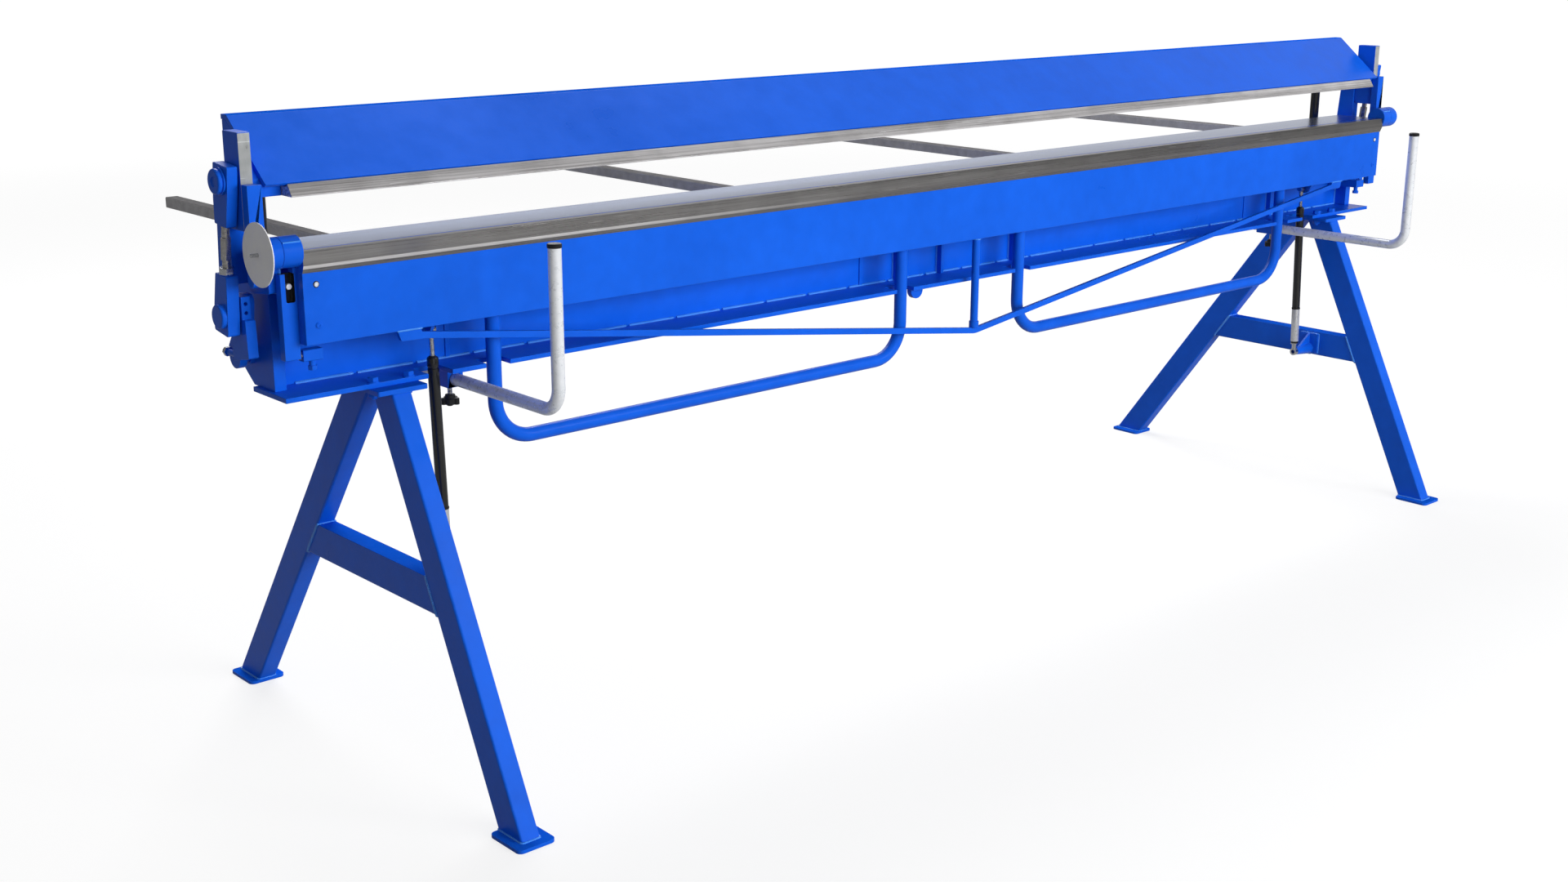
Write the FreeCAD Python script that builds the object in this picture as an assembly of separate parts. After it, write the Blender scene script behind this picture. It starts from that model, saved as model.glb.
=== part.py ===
import FreeCAD, Part
import math
import os

# Manual sheet metal folder on two A-frame stands, shown open: the clamping beam is lifted off the table
# and the bending beam hangs at rest. X runs along the machine, -Y is the operator's side, Z is up.
# Pieces are drawn with Y = 0 on the front face of the bending plate and Z = 0 on the floor, in millimetres,
# and moved at the end so that the origin is on the floor under the middle of the machine.

# Driving dimensions
HALF_LENGTH = 1500.0          # half of the working length
TABLE_Z = 908.0               # top of the table, and height of the bending axis
AXIS_Y = 13.5                 # bending axis, just behind the edge of the blade
OPENING = 77.0                # gap under the clamping blade when it is lifted

PLATE_THICK = 12.0            # bending plate
PLATE_LOW_Z = 764.0
BLADE_LOW_Z = 874.5
BLADE_PROUD = 6.0             # how far the bending blade stands in front of its plate

TABLE_FRONT_Y = 12.5
TABLE_THICK = 12.0
WEB_FRONT_Y = 112.0
WEB_REAR_Y = 120.0
FLANGE_LOW_Z = 672.0
FLANGE_TOP_Z = 680.0
FLANGE_FRONT_Y = 31.0
FLANGE_REAR_Y = 138.0
FLANGE_HALF = 1524.5

END_PLATE_X = (1497.0, 1517.0)
GUIDE_BLOCK_X = (1517.0, 1536.0)
POST_X = (1536.0, 1560.0)
POST_Y = (37.0, 55.0)
POST_TOP_Z = 1007.0
REAR_POST_Y = 104.6           # front of the rear upright, behind the guide plate
REAR_POST_TOP_Z = 996.0
GUIDE_PLATE_Y = (55.5, 104.0)
BRACKET_FRONT_Y = 57.0
HINGE_R = 24.0
HINGE_PIN_R = 12.5
RUN_FIT = 0.05                # radial play of pins that turn

STAND_X = 1337.0              # middle of each A-frame
LEG_WIDE = 35.0               # leg tube, across the frame
LEG_DEEP = 60.0               # leg tube, along the frame
LEG_WALL = 3.0
FRONT_FOOT_Y = -280.0
REAR_FOOT_Y = 600.0
FRONT_HEAD_Y = 42.5           # where the legs meet the head plate
REAR_HEAD_Y = 116.0
HEAD_PLATE_Z = (664.0, 672.0)
FOOT_THICK = 6.0
CROSSBAR_Z = (319.0, 379.0)
CROSSBAR_WIDE = 34.0

SPRING_X = 1251.0             # front gas springs
SPRING_FOOT = (40.0, 335.0)   # lower pivot, Y and Z
SPRING_HEAD = (56.0, 747.0)   # upper pivot
SPRING_R = 9.5
SPRING_ROD_R = 4.0

BAR_R = 12.5                  # bent tubes that the operator lifts
BAR_LEGS_X = (1140.0, 177.0)
BAR_Y = 45.0
BAR_LOW_Z = 540.0
BAR_BEND_R = 70.0
BAR_TOP_Z = 840.0

SUPPORT_X = 1195.5            # front sheet supports
SUPPORT_Z = 650.0
SUPPORT_R = 10.65
SUPPORT_BEND_R = 40.0
SUPPORT_POST_Y = {"left": -218.0, "right": -267.0}
SUPPORT_TOP_Z = 908.0
SUPPORT_TUBE = 518.0           # from the post's middle to the tail
SOCKET_Y = (60.0, 130.0)
KNOB_Y = 96.0

SHAFT = (150.0, 728.0)        # clamp shaft, Y and Z
SHAFT_R = 10.0
SHAFT_END_X = 1545.0
CRANK_X = (1543.0, 1560.0)
CRANK_ARM_X = (1533.0, 1545.5)
STUD = (1554.0, 738.0)        # stop screw of each crank, X and Z
LEVER_X = (1525.5, 1533.0)    # hand lever, on the right end of the shaft
LEVER_RISE = math.radians(6)  # its slope while the beam is lifted
LEVER_LENGTH = 490.0
LINK_X = (1562.1, 1582.1)
LINK_UPPER_X = (1562.1, 1579.1)
LINK_ROD_R = 6.0
LINK_TOP = (84.0, 1011.0)     # pin on the clamping beam
LINK_LOW = (106.0, 804.5)     # pin at the crank
BOSS_X = 1590.0               # outer face of the link bosses

RAIL_X = (420.0, 1309.0)
RAIL_WIDE = 25.0
RAIL_Z = (858.5, 878.5)
RAIL_END_Y = 865.0

REAR_SPRING_X = 1474.0
REAR_SPRING_Y = 177.0
REAR_SPRING_Z = (735.0, 1052.0)

FOOT_LONG = 84.0
FOOT_WIDE = 70.0
FRONT_END_Y = FRONT_FOOT_Y - 7.0 - FOOT_LONG / 2
ORIGIN_Y = (FRONT_END_Y + RAIL_END_Y) / 2

PIECES = {}


def vec(x, y, z):
    return FreeCAD.Vector(x, y, z)


def place(axis, at, u, v):
    """A point of a profile: u and v are the two directions square to the axis, in X, Y, Z order."""
    if axis == "x":
        return vec(at, u, v)
    if axis == "y":
        return vec(u, at, v)
    return vec(u, v, at)


def rounded(points, axis, at):
    """A closed wire through (u, v, radius) corners, each rounded with an arc of its radius."""
    edges = []
    first = None
    last = None
    count = len(points)
    for i in range(count):
        u, v, radius = points[i]
        before = points[i - 1]
        after = points[(i + 1) % count]
        corner = place(axis, at, u, v)
        if radius <= 0:
            enter = leave = corner
        else:
            back = place(axis, at, before[0], before[1]).sub(corner).normalize()
            ahead = place(axis, at, after[0], after[1]).sub(corner).normalize()
            half = back.getAngle(ahead) / 2
            enter = corner.add(vec(*back).multiply(radius / math.tan(half)))
            leave = corner.add(vec(*ahead).multiply(radius / math.tan(half)))
            inward = vec(*back).add(ahead).normalize()
            middle = corner.add(inward.multiply(radius / math.sin(half) - radius))
        if last is not None and last.distanceToPoint(enter) > 1e-6:
            edges.append(Part.makeLine(last, enter))
        if radius > 0:
            edges.append(Part.Arc(enter, middle, leave).toShape())
        if first is None:
            first = enter
        last = leave
    if last.distanceToPoint(first) > 1e-6:
        edges.append(Part.makeLine(last, first))
    return Part.Wire(edges)


def profile(points, axis, start, end):
    """A prism of the rounded outline, from start to end along the axis."""
    corners = [p if len(p) == 3 else (p[0], p[1], 0) for p in points]
    face = Part.Face(rounded(corners, axis, start))
    return face.extrude(place(axis, end - start, 0, 0))


def box(x, y, z):
    return Part.makeBox(x[1] - x[0], y[1] - y[0], z[1] - z[0], vec(x[0], y[0], z[0]))


def rod(axis, centre, radius, start, end):
    """A round bar along the axis; centre is its place in the two other directions."""
    return Part.makeCylinder(radius, end - start, place(axis, start, *centre), place(axis, 1, 0, 0))


def ring(axis, centre, outer, inner, start, end):
    return rod(axis, centre, outer, start, end).cut(rod(axis, centre, inner, start - 1, end + 1))


def hexagon(axis, centre, flats, start, end):
    """A six-sided prism, such as a bolt's head or a nut."""
    corner = flats / math.sqrt(3)
    points = []
    for i in range(6):
        angle = math.radians(60 * i)
        points.append((centre[0] + corner * math.cos(angle), centre[1] + corner * math.sin(angle)))
    return profile(points, axis, start, end)


def joined(*shapes):
    solid = shapes[0].multiFuse(list(shapes[1:]))
    return solid.removeSplitter()


def mirrored(shape):
    return shape.mirror(vec(0, 0, 0), vec(1, 0, 0))


def pair(shape):
    """The right-hand piece, drawn at +X, and its mirror image at the left."""
    return [mirrored(shape), shape]


def keep(name, *solids):
    """Files one node: its solids are moved to the part's origin."""
    moved = []
    for solid in solids:
        piece = solid.copy()
        piece.translate(vec(0, -ORIGIN_Y, 0))
        moved.append(piece)
    PIECES[name] = moved[0] if len(moved) == 1 else Part.makeCompound(moved)


def pipe(points, radius, wall, bend):
    """A round tube along straight runs, with an arc of the bend radius at each inner corner."""
    edges = []
    start = points[0]
    for i in range(1, len(points) - 1):
        corner = points[i]
        back = start.sub(corner).normalize()
        ahead = points[i + 1].sub(corner).normalize()
        half = back.getAngle(ahead) / 2
        reach = bend / math.tan(half)
        enter = corner.add(vec(*back).multiply(reach))
        leave = corner.add(vec(*ahead).multiply(reach))
        inward = vec(*back).add(ahead).normalize()
        middle = corner.add(inward.multiply(bend / math.sin(half) - bend))
        edges.append(Part.makeLine(start, enter))
        edges.append(Part.Arc(enter, middle, leave).toShape())
        start = leave
    edges.append(Part.makeLine(start, points[-1]))
    path = Part.Wire(edges)
    direction = points[1].sub(points[0])
    outer = Part.Wire(Part.makeCircle(radius, points[0], direction))
    inner = Part.Wire(Part.makeCircle(radius - wall, points[0], direction))
    return path.makePipeShell([outer], True, True).cut(path.makePipeShell([inner], True, True))


# Bed: table, web, slotted flange and ribs, with a thick plate at each end
def make_bed():
    table = profile([(TABLE_FRONT_Y, TABLE_Z), (WEB_REAR_Y, TABLE_Z), (WEB_REAR_Y, TABLE_Z - TABLE_THICK),
                     (TABLE_FRONT_Y + 5, TABLE_Z - TABLE_THICK), (TABLE_FRONT_Y, TABLE_Z - 5)],
                    "x", -END_PLATE_X[0], END_PLATE_X[0])
    keep("table_plate", table)
    keep("bed_web", box((-END_PLATE_X[0], END_PLATE_X[0]), (WEB_FRONT_Y, WEB_REAR_Y),
                        (FLANGE_TOP_Z, TABLE_Z - TABLE_THICK)))
    flange = box((-FLANGE_HALF, FLANGE_HALF), (FLANGE_FRONT_Y, FLANGE_REAR_Y), (FLANGE_LOW_Z, FLANGE_TOP_Z))
    slots = [(SPRING_X, 45.0, 80.0), (BAR_LEGS_X[0], 47.0, 68.0), (BAR_LEGS_X[1], 47.0, 68.0)]
    for x, wide, deep_y in slots:
        cut = profile([(x - wide / 2, FLANGE_FRONT_Y - 5), (x + wide / 2, FLANGE_FRONT_Y - 5),
                       (x + wide / 2, deep_y, 6), (x - wide / 2, deep_y, 6)], "z", FLANGE_LOW_Z - 1, FLANGE_TOP_Z + 1)
        flange = flange.cut(cut).cut(mirrored(cut))
    for x, y in bolt_places():
        flange = flange.cut(rod("z", (x, y), 5.5, FLANGE_LOW_Z - 1, FLANGE_TOP_Z + 1))
    lug = rod("y", (-120, 666), 17, 54, 66).common(box((-140, -100), (50, 70), (640, FLANGE_LOW_Z)))
    keep("bed_flange", flange, lug)
    rib_places = [0.0]
    for slot_x in BAR_LEGS_X:
        rib_places += [slot_x - 48, slot_x + 48, 48 - slot_x, -48 - slot_x]
    rib = [(WEB_FRONT_Y, FLANGE_TOP_Z), (60, FLANGE_TOP_Z), (60, 770, 20), (32, 820, 20),
           (32, TABLE_Z - TABLE_THICK), (WEB_FRONT_Y, TABLE_Z - TABLE_THICK)]
    keep("bed_ribs", *[profile(rib, "x", x - 4, x + 4) for x in sorted(rib_places)])
    outline = [(80, FLANGE_TOP_Z), (148, FLANGE_TOP_Z, 3), (172, 698, 10), (196, 718, 14), (196, 754, 18),
               (152, 806, 40), (140, 906, 60), (123, 980, 8), (80, 944, 8)]
    plate = profile(outline, "x", *END_PLATE_X).cut(rod("x", SHAFT, 14, 1490, 1520))
    keep("end_plate_left", mirrored(plate))
    keep("end_plate_right", plate)


# Hinge posts: two uprights that guide the clamping beam, the blocks that carry them and the hinge tube
def make_hinge_posts():
    post = profile([(POST_Y[0], 858, 6), (POST_Y[1], 846, 8), (POST_Y[1], POST_TOP_Z), (POST_Y[0], POST_TOP_Z)],
                   "x", *POST_X)
    block = profile([(38, 842, 4), (109, 834, 20), (109, 903, 3), (38, 903)], "x", *GUIDE_BLOCK_X)
    tube = rod("x", (AXIS_Y, TABLE_Z), HINGE_R, 1532, 1559.5)
    rear_post = profile([(REAR_POST_Y, 850, 4), (152, 850, 6), (141, REAR_POST_TOP_Z, 6),
                         (REAR_POST_Y, REAR_POST_TOP_Z, 3)], "x", *POST_X)
    spacer = profile([(100, 858, 3), (146, 858, 3), (146, 898, 3), (100, 898, 3)], "x", *GUIDE_BLOCK_X)
    body = joined(post, block, tube, rear_post, spacer)
    body = body.cut(rod("x", (AXIS_Y, TABLE_Z), HINGE_PIN_R + RUN_FIT, 1525, 1565))
    keep("hinge_post_left", mirrored(body))
    keep("hinge_post_right", body)


# Stands: two A-frames of rectangular tube, with head plates, foot plates and the bolts that hold the bed
def leg_line(foot_y, head_y, z):
    """The leg's middle in Y at a height, and half of its depth measured level."""
    run = head_y - foot_y
    rise = HEAD_PLATE_Z[0]
    middle = foot_y + run * z / rise
    return middle, LEG_DEEP / 2 * math.hypot(run, rise) / rise


def leg(foot_y, head_y):
    low = FOOT_THICK
    high = HEAD_PLATE_Z[0]
    shapes = []
    for shrink in (0.0, LEG_WALL):
        share = 1 - shrink / (LEG_DEEP / 2)
        corners = []
        for z, side in ((low, -1), (low, 1), (high, 1), (high, -1)):
            middle, half = leg_line(foot_y, head_y, z)
            corners.append((middle + side * half * share, z))
        half_wide = LEG_WIDE / 2 - shrink
        shapes.append(profile(corners, "x", STAND_X - half_wide, STAND_X + half_wide))
    outer = shapes[0]
    long_edges = [e for e in outer.Edges if e.Length > 600]
    return outer.makeFillet(4.0, long_edges).cut(shapes[1])


def bolt_places():
    places = []
    for stand in (-STAND_X, STAND_X):
        for side in (-32.0, 32.0):
            for y in (40.0, 129.0):
                places.append((stand + side, y))
    return places


def make_stands():
    front = leg(FRONT_FOOT_Y, FRONT_HEAD_Y)
    rear = leg(REAR_FOOT_Y, REAR_HEAD_Y)
    keep("front_legs", *pair(front))
    keep("rear_legs", *pair(rear))
    shapes = []
    for shrink in (0.0, LEG_WALL):
        corners = []
        for z, foot_y, head_y, side in ((CROSSBAR_Z[0] + shrink, FRONT_FOOT_Y, FRONT_HEAD_Y, 1),
                                        (CROSSBAR_Z[0] + shrink, REAR_FOOT_Y, REAR_HEAD_Y, -1),
                                        (CROSSBAR_Z[1] - shrink, REAR_FOOT_Y, REAR_HEAD_Y, -1),
                                        (CROSSBAR_Z[1] - shrink, FRONT_FOOT_Y, FRONT_HEAD_Y, 1)):
            middle, half = leg_line(foot_y, head_y, z)
            corners.append((middle + side * half, z))
        half_wide = CROSSBAR_WIDE / 2 - shrink
        shapes.append(profile(corners, "x", STAND_X - half_wide, STAND_X + half_wide))
    outer = shapes[0]
    long_edges = [e for e in outer.Edges if e.Length > 380]
    keep("crossbars", *pair(outer.makeFillet(4.0, long_edges).cut(shapes[1])))
    head = profile([(STAND_X - 45, 3, 4), (STAND_X + 45, 3, 4), (STAND_X + 45, 155, 4), (STAND_X - 45, 155, 4)],
                   "z", *HEAD_PLATE_Z)
    for x, y in bolt_places():
        head = head.cut(rod("z", (x, y), 5.5, HEAD_PLATE_Z[0] - 1, HEAD_PLATE_Z[1] + 1))
    keep("head_plates", *pair(head))
    feet = []
    for y in (FRONT_FOOT_Y - 7, REAR_FOOT_Y - 3):
        corners = [(STAND_X + sx * FOOT_WIDE / 2, y + sy * FOOT_LONG / 2, 10)
                   for sx, sy in ((-1, -1), (1, -1), (1, 1), (-1, 1))]
        feet += pair(profile(corners, "z", 0, FOOT_THICK))
    keep("foot_plates", *feet)
    bolts = []
    for x, y in bolt_places():
        head_z = FLANGE_TOP_Z
        bolts.append(joined(hexagon("z", (x, y), 16, head_z, head_z + 6.4), rod("z", (x, y), 5, 652, head_z)))
        nut = hexagon("z", (x, y), 16, HEAD_PLATE_Z[0] - 8, HEAD_PLATE_Z[0])
        bolts.append(nut.cut(rod("z", (x, y), 5.05, 650, 670)))
    keep("stand_bolts", *bolts)


# Rails behind the bed that carry long sheets, each on a bracket of the web
def make_rails():
    rails = []
    brackets = []
    for x in RAIL_X:
        half = RAIL_WIDE / 2
        outer = profile([(x - half, RAIL_Z[0], 2), (x + half, RAIL_Z[0], 2), (x + half, RAIL_Z[1], 2),
                         (x - half, RAIL_Z[1], 2)], "y", 126, RAIL_END_Y)
        inner = box((x - half + 2.5, x + half - 2.5), (125, RAIL_END_Y + 1), (RAIL_Z[0] + 2.5, RAIL_Z[1] - 2.5))
        rails += pair(outer.cut(inner))
        plate = profile([(x - 28, 800, 4), (x + 28, 800, 4), (x + 28, 890, 4), (x - 28, 890, 4)],
                        "y", WEB_REAR_Y, 126)
        gusset = profile([(126, 804), (200, RAIL_Z[0]), (126, RAIL_Z[0])], "x", x - 4, x + 4)
        brackets += pair(joined(plate, gusset))
    keep("rear_rails", *rails)
    keep("rail_brackets", *brackets)


# Front sheet supports: an L of tube in a socket under the flange, held by a star knob
def make_supports():
    socket = profile([(SUPPORT_X - 15, 633, 5), (SUPPORT_X + 15, 633, 5), (SUPPORT_X + 15, FLANGE_LOW_Z),
                      (SUPPORT_X - 15, FLANGE_LOW_Z)], "y", *SOCKET_Y)
    socket = socket.cut(rod("y", (SUPPORT_X, SUPPORT_Z), SUPPORT_R + 0.1, 50, 140))
    socket = socket.cut(rod("z", (SUPPORT_X, KNOB_Y), 4.05, 620, SUPPORT_Z))
    keep("support_sockets", *pair(socket))
    for side, sign in (("left", -1), ("right", 1)):
        x = sign * SUPPORT_X
        post_y = SUPPORT_POST_Y[side]
        path = [vec(x, post_y + SUPPORT_TUBE, SUPPORT_Z), vec(x, post_y, SUPPORT_Z), vec(x, post_y, SUPPORT_TOP_Z)]
        cap = rod("z", (x, post_y), 11.6, SUPPORT_TOP_Z, SUPPORT_TOP_Z + 7)
        cap = cap.makeFillet(2.5, [e for e in cap.Edges if e.BoundBox.ZMin > SUPPORT_TOP_Z + 6])
        cap = joined(cap, rod("z", (x, post_y), 8.2, SUPPORT_TOP_Z - 14, SUPPORT_TOP_Z))
        keep("support_tube_" + side, pipe(path, SUPPORT_R, 2.3, SUPPORT_BEND_R), cap)
        keep("knob_" + side, star_knob(x, KNOB_Y))


def star_knob(x, y):
    """Five-lobed knob moulded on a threaded stud that presses on the support tube."""
    low = 604.0
    head = rod("z", (x, y), 10.5, low, low + 11)
    for i in range(5):
        angle = math.radians(72 * i + 18)
        head = head.fuse(rod("z", (x + 11 * math.cos(angle), y + 11 * math.sin(angle)), 5, low, low + 11))
    hub = Part.makeCone(9.5, 6.5, 14, vec(x, y, low + 11))
    stud = rod("z", (x, y), 4, low + 20, SUPPORT_Z - SUPPORT_R - 0.4)
    return joined(head, hub, stud)


# Stops under the ends of the bending plate, and the pivots of the gas springs on the crossbars
def make_stops_and_pivots():
    outline = [(28, 733, 2), (28, 751, 2), (44, 751), (44, 792, 3), (62, 792, 3), (62, 751, 4), (WEB_FRONT_Y, 751),
               (WEB_FRONT_Y, 733)]
    block = profile(outline, "x", 1459, 1492)
    pad = rod("y", (1475.5, 780), 8, PLATE_THICK + 0.7, 44)
    screw = joined(rod("z", (1473, 38), 5, 724, 733), hexagon("z", (1473, 38), 13, 717, 724))
    nut = hexagon("x", (36, 743), 13, 1492, 1499)
    keep("beam_stops", *(pair(block) + pair(pad) + pair(screw) + pair(nut)))
    inner_face = STAND_X - CROSSBAR_WIDE / 2
    boss = Part.makeCone(9, 15, inner_face - SPRING_X - 6, vec(SPRING_X + 6, *SPRING_FOOT), vec(1, 0, 0))
    seat = profile([(14, 324, 4), (66, 324, 4), (66, 374, 4), (14, 374, 4)], "x", inner_face - 6, inner_face)
    gusset = profile([(inner_face - 6, 340), (inner_face - 6, 374), (SPRING_X + 12, 340)], "y", 37, 43)
    keep("spring_pivots", *pair(joined(boss, seat, gusset)))


# Clamp shaft: a bar behind the web, in bushes, with a crank at each end and the hand lever at the right
def make_clamp_shaft():
    bush = ring("x", SHAFT, 14, SHAFT_R + RUN_FIT, END_PLATE_X[0] - 4, END_PLATE_X[1] + 8)
    block = profile([(WEB_REAR_Y, 708, 3), (168, 708, 14), (168, 748, 17), (WEB_REAR_Y, 762, 3)], "x", -16, 16)
    keep("shaft_bearings", *(pair(bush) + [block.cut(rod("x", SHAFT, SHAFT_R + RUN_FIT, -20, 20))]))
    keep("clamp_shaft", rod("x", SHAFT, SHAFT_R, -SHAFT_END_X, SHAFT_END_X))
    plate = profile([(72, 740, 3), (75, 799, 3), (118, 799, 6), (124, 745, 4), (124, 730, 2)], "x", *CRANK_X)
    tab = box((1545, CRANK_X[1]), (84, 110), (799, 834))
    arm = profile([(168, 710, 17.9), (168, 744, 8), (142, 780, 30), (128, 834, 12), (92, 834, 12), (102, 775, 20),
                   (132, 742, 10), (132, 710, 17.9)], "x", *CRANK_ARM_X)
    stud = rod("y", STUD, 5, 112, 163)
    crank = joined(plate, tab, arm).cut(stud).cut(rod("x", SHAFT, SHAFT_R, 1520, SHAFT_END_X))
    for z in (809.0, 823.0):
        crank = crank.cut(rod("y", (1552.5, z), 2.8, 80, 96))
    nut = hexagon("y", STUD, 14, 150, 158).cut(rod("y", STUD, 5, 145, 165))
    keep("clamp_cranks", *(pair(crank) + pair(stud) + pair(nut)))
    axis = vec(0, math.cos(LEVER_RISE), math.sin(LEVER_RISE))
    aside = vec(0, -math.sin(LEVER_RISE), math.cos(LEVER_RISE))
    root = vec(LEVER_X[0], *SHAFT)
    corners = []
    for s, half in ((8, -14), (LEVER_LENGTH, -8), (LEVER_LENGTH, 8), (8, 14)):
        point = root.add(vec(*axis).multiply(s)).add(vec(*aside).multiply(half))
        corners.append((point.y, point.z, 0))
    lever = joined(profile(corners, "x", *LEVER_X), rod("x", SHAFT, 20, *LEVER_X))
    lever = lever.cut(rod("x", SHAFT, SHAFT_R, LEVER_X[0] - 1, LEVER_X[1] + 1))
    root.x = (LEVER_X[0] + LEVER_X[1]) / 2
    grip = Part.makeCylinder(12, 130, root.add(vec(*axis).multiply(LEVER_LENGTH - 120)), axis)
    grip = grip.makeFillet(4, [e for e in grip.Edges if len(e.Vertexes) == 1])
    keep("clamp_lever", lever.cut(grip))
    keep("lever_grip", grip)


# Links: two lugs with threaded rods, drawn together by a turnbuckle
def along_link(s, aside=0.0):
    """A point on the link's line, s below its upper pin, and aside of the line towards the rear."""
    run = LINK_LOW[0] - LINK_TOP[0]
    drop = LINK_LOW[1] - LINK_TOP[1]
    length = math.hypot(run, drop)
    return (LINK_TOP[0] + (run * s - drop * aside) / length, LINK_TOP[1] + (drop * s + run * aside) / length)


def link_bar(radius, start, end, middle_x):
    a = along_link(start)
    b = along_link(end)
    low = vec(middle_x, *a)
    return Part.makeCylinder(radius, end - start, low, vec(0, b[0] - a[0], b[1] - a[1]))


def link_hexagon(flats, start, end, middle_x):
    a = along_link(start)
    b = along_link(end)
    direction = vec(0, b[0] - a[0], b[1] - a[1])
    bar = hexagon("z", (0, 0), flats, 0, end - start)
    bar.Placement = FreeCAD.Placement(vec(middle_x, *a), FreeCAD.Rotation(vec(0, 0, 1), direction))
    return bar


def make_links():
    middle_x = (LINK_X[0] + LINK_X[1]) / 2
    length = math.hypot(LINK_LOW[0] - LINK_TOP[0], LINK_LOW[1] - LINK_TOP[1])
    upper = profile([along_link(-25, -24) + (3,), along_link(-25, 22) + (3,), along_link(30, 24) + (30,),
                     along_link(68, 21) + (3,), along_link(68, -17) + (3,), along_link(15, -23) + (30,)],
                    "x", *LINK_UPPER_X)
    upper = joined(upper, link_bar(LINK_ROD_R, 60, 100, middle_x))
    upper = upper.cut(rod("x", LINK_TOP, 10 + RUN_FIT, 1550, 1595))
    lower = profile([along_link(143, -18) + (3,), along_link(143, 18) + (3,), along_link(length - 14, 24) + (12,),
                     along_link(length + 27, 25) + (5,), along_link(length + 29, -20) + (4,)], "x", *LINK_X)
    boss = rod("x", LINK_LOW, 19, LINK_X[1], BOSS_X)
    boss = boss.makeFillet(3, [e for e in boss.Edges if e.BoundBox.XMin > BOSS_X - 0.1])
    stub = rod("x", LINK_LOW, 10, CRANK_X[1] + 0.5, LINK_X[0])
    lower = joined(lower, boss, stub, link_bar(LINK_ROD_R, 105, 150, middle_x))
    nut = link_hexagon(20, 132, 143, middle_x).cut(link_bar(LINK_ROD_R, 120, 150, middle_x))
    body = link_hexagon(15, 86, 120, middle_x).cut(link_bar(LINK_ROD_R + RUN_FIT, 80, 126, middle_x))
    for side, turn in (("left", mirrored), ("right", lambda shape: shape)):
        keep("link_upper_" + side, turn(upper))
        keep("link_lower_" + side, turn(lower), turn(nut))
        keep("turnbuckle_" + side, turn(body))


# Clamping beam: blade, inclined front plate, floor, ribs, and the plates that run in the guides
FRONT_SLOPE = (1100.0 - 1006.0) / (150.0 - 37.0)


FOLD_Y = 37.0 + (1092.0 - 1006.0 + 8 * math.hypot(1, FRONT_SLOPE)) / FRONT_SLOPE


def front_plate_under(y):
    """Height of the underside of the inclined plate."""
    return 1006.0 + (y - 37.0) * FRONT_SLOPE - 8 * math.hypot(1, FRONT_SLOPE)


def make_clamping_beam():
    plate = profile([(37, 1006), (150, 1100, 10), (168, 1100), (168, 1092), (FOLD_Y, 1092, 3),
                     (45, front_plate_under(45)), (42, 1002)], "x", -1530, 1530)
    blade_z = TABLE_Z + OPENING
    blade = profile([(26, blade_z), (26, blade_z + 1.5), (37, 1004), (42, 1000), (62, 1000), (62, blade_z)],
                    "x", -1495, 1495)
    keep("clamp_front_plate", plate)
    keep("clamp_blade", blade)
    floor = profile([(50, 1000), (50, 1004), (54, 1008), (157, 1008, 4), (157, 1048), (165, 1048),
                     (165, 1000, 6)], "x", -1494, 1494)
    keep("clamp_floor", floor)
    ribs = []
    for i in range(-3, 4):
        x = i * 420.0
        ribs.append(profile([(62, 1008), (157, 1008, 4), (157, 1048), (165, 1048), (165, 1092), (FOLD_Y, 1092, 3),
                             (62, front_plate_under(62))], "x", x - 3, x + 3))
    eye = (REAR_SPRING_Y, REAR_SPRING_Z[1])
    lug = [(62, 1008), (157, 1008, 4), (157, 1048), (165, 1048), (REAR_SPRING_Y + 12, 1036, 12),
           (REAR_SPRING_Y + 12, 1066, 12), (165, 1080, 6), (165, 1092), (FOLD_Y, 1092, 3), (62, front_plate_under(62))]
    end_rib = joined(profile(lug, "x", 1487, 1493), rod("x", eye, 5, REAR_SPRING_X - 6, 1487))
    keep("clamp_ribs", *(ribs + pair(end_rib)))
    cheek = profile([(79.5, 1000), (165, 1000, 4), (165, 1092), (FOLD_Y, 1092, 3),
                     (79.5, front_plate_under(79.5))], "x", 1522, 1530)
    bracket = profile([(BRACKET_FRONT_Y, 985), (79.5, 985), (79.5, front_plate_under(79.5)),
                       (BRACKET_FRONT_Y, front_plate_under(BRACKET_FRONT_Y))], "x", 1495.5, 1540)
    front_y, rear_y = GUIDE_PLATE_Y
    guide = profile([(front_y, 937, 3), (rear_y, 937, 10), (rear_y, 1083, 2), (front_y, 1083, 2)],
                    "x", 1540, POST_X[1])
    carrier = joined(guide, bracket, cheek)
    keep("guide_plate_left", mirrored(carrier))
    keep("guide_plate_right", carrier)
    keep("link_pins", *pair(link_pin()))


def link_pin():
    """A turned pin: its head has a flange, a neck and a rounded rim round a shallow recess."""
    under = LINK_UPPER_X[1] + 0.3
    corners = [(POST_X[1], 0, 0), (POST_X[1], 10, 0), (under, 10, 0), (under, 21, 0.8), (under + 2.6, 21, 0.8),
               (under + 3.4, 18, 0), (under + 4.4, 18, 0), (under + 5.2, 19.5, 0.5), (BOSS_X, 19.5, 3.5),
               (BOSS_X, 8, 0), (BOSS_X - 2, 7, 0), (BOSS_X - 2, 0, 0)]
    half = Part.Face(rounded(corners, "z", 0))
    solid = half.revolve(vec(0, 0, 0), vec(1, 0, 0), 360)
    solid.translate(vec(0, *LINK_TOP))
    return solid


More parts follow.
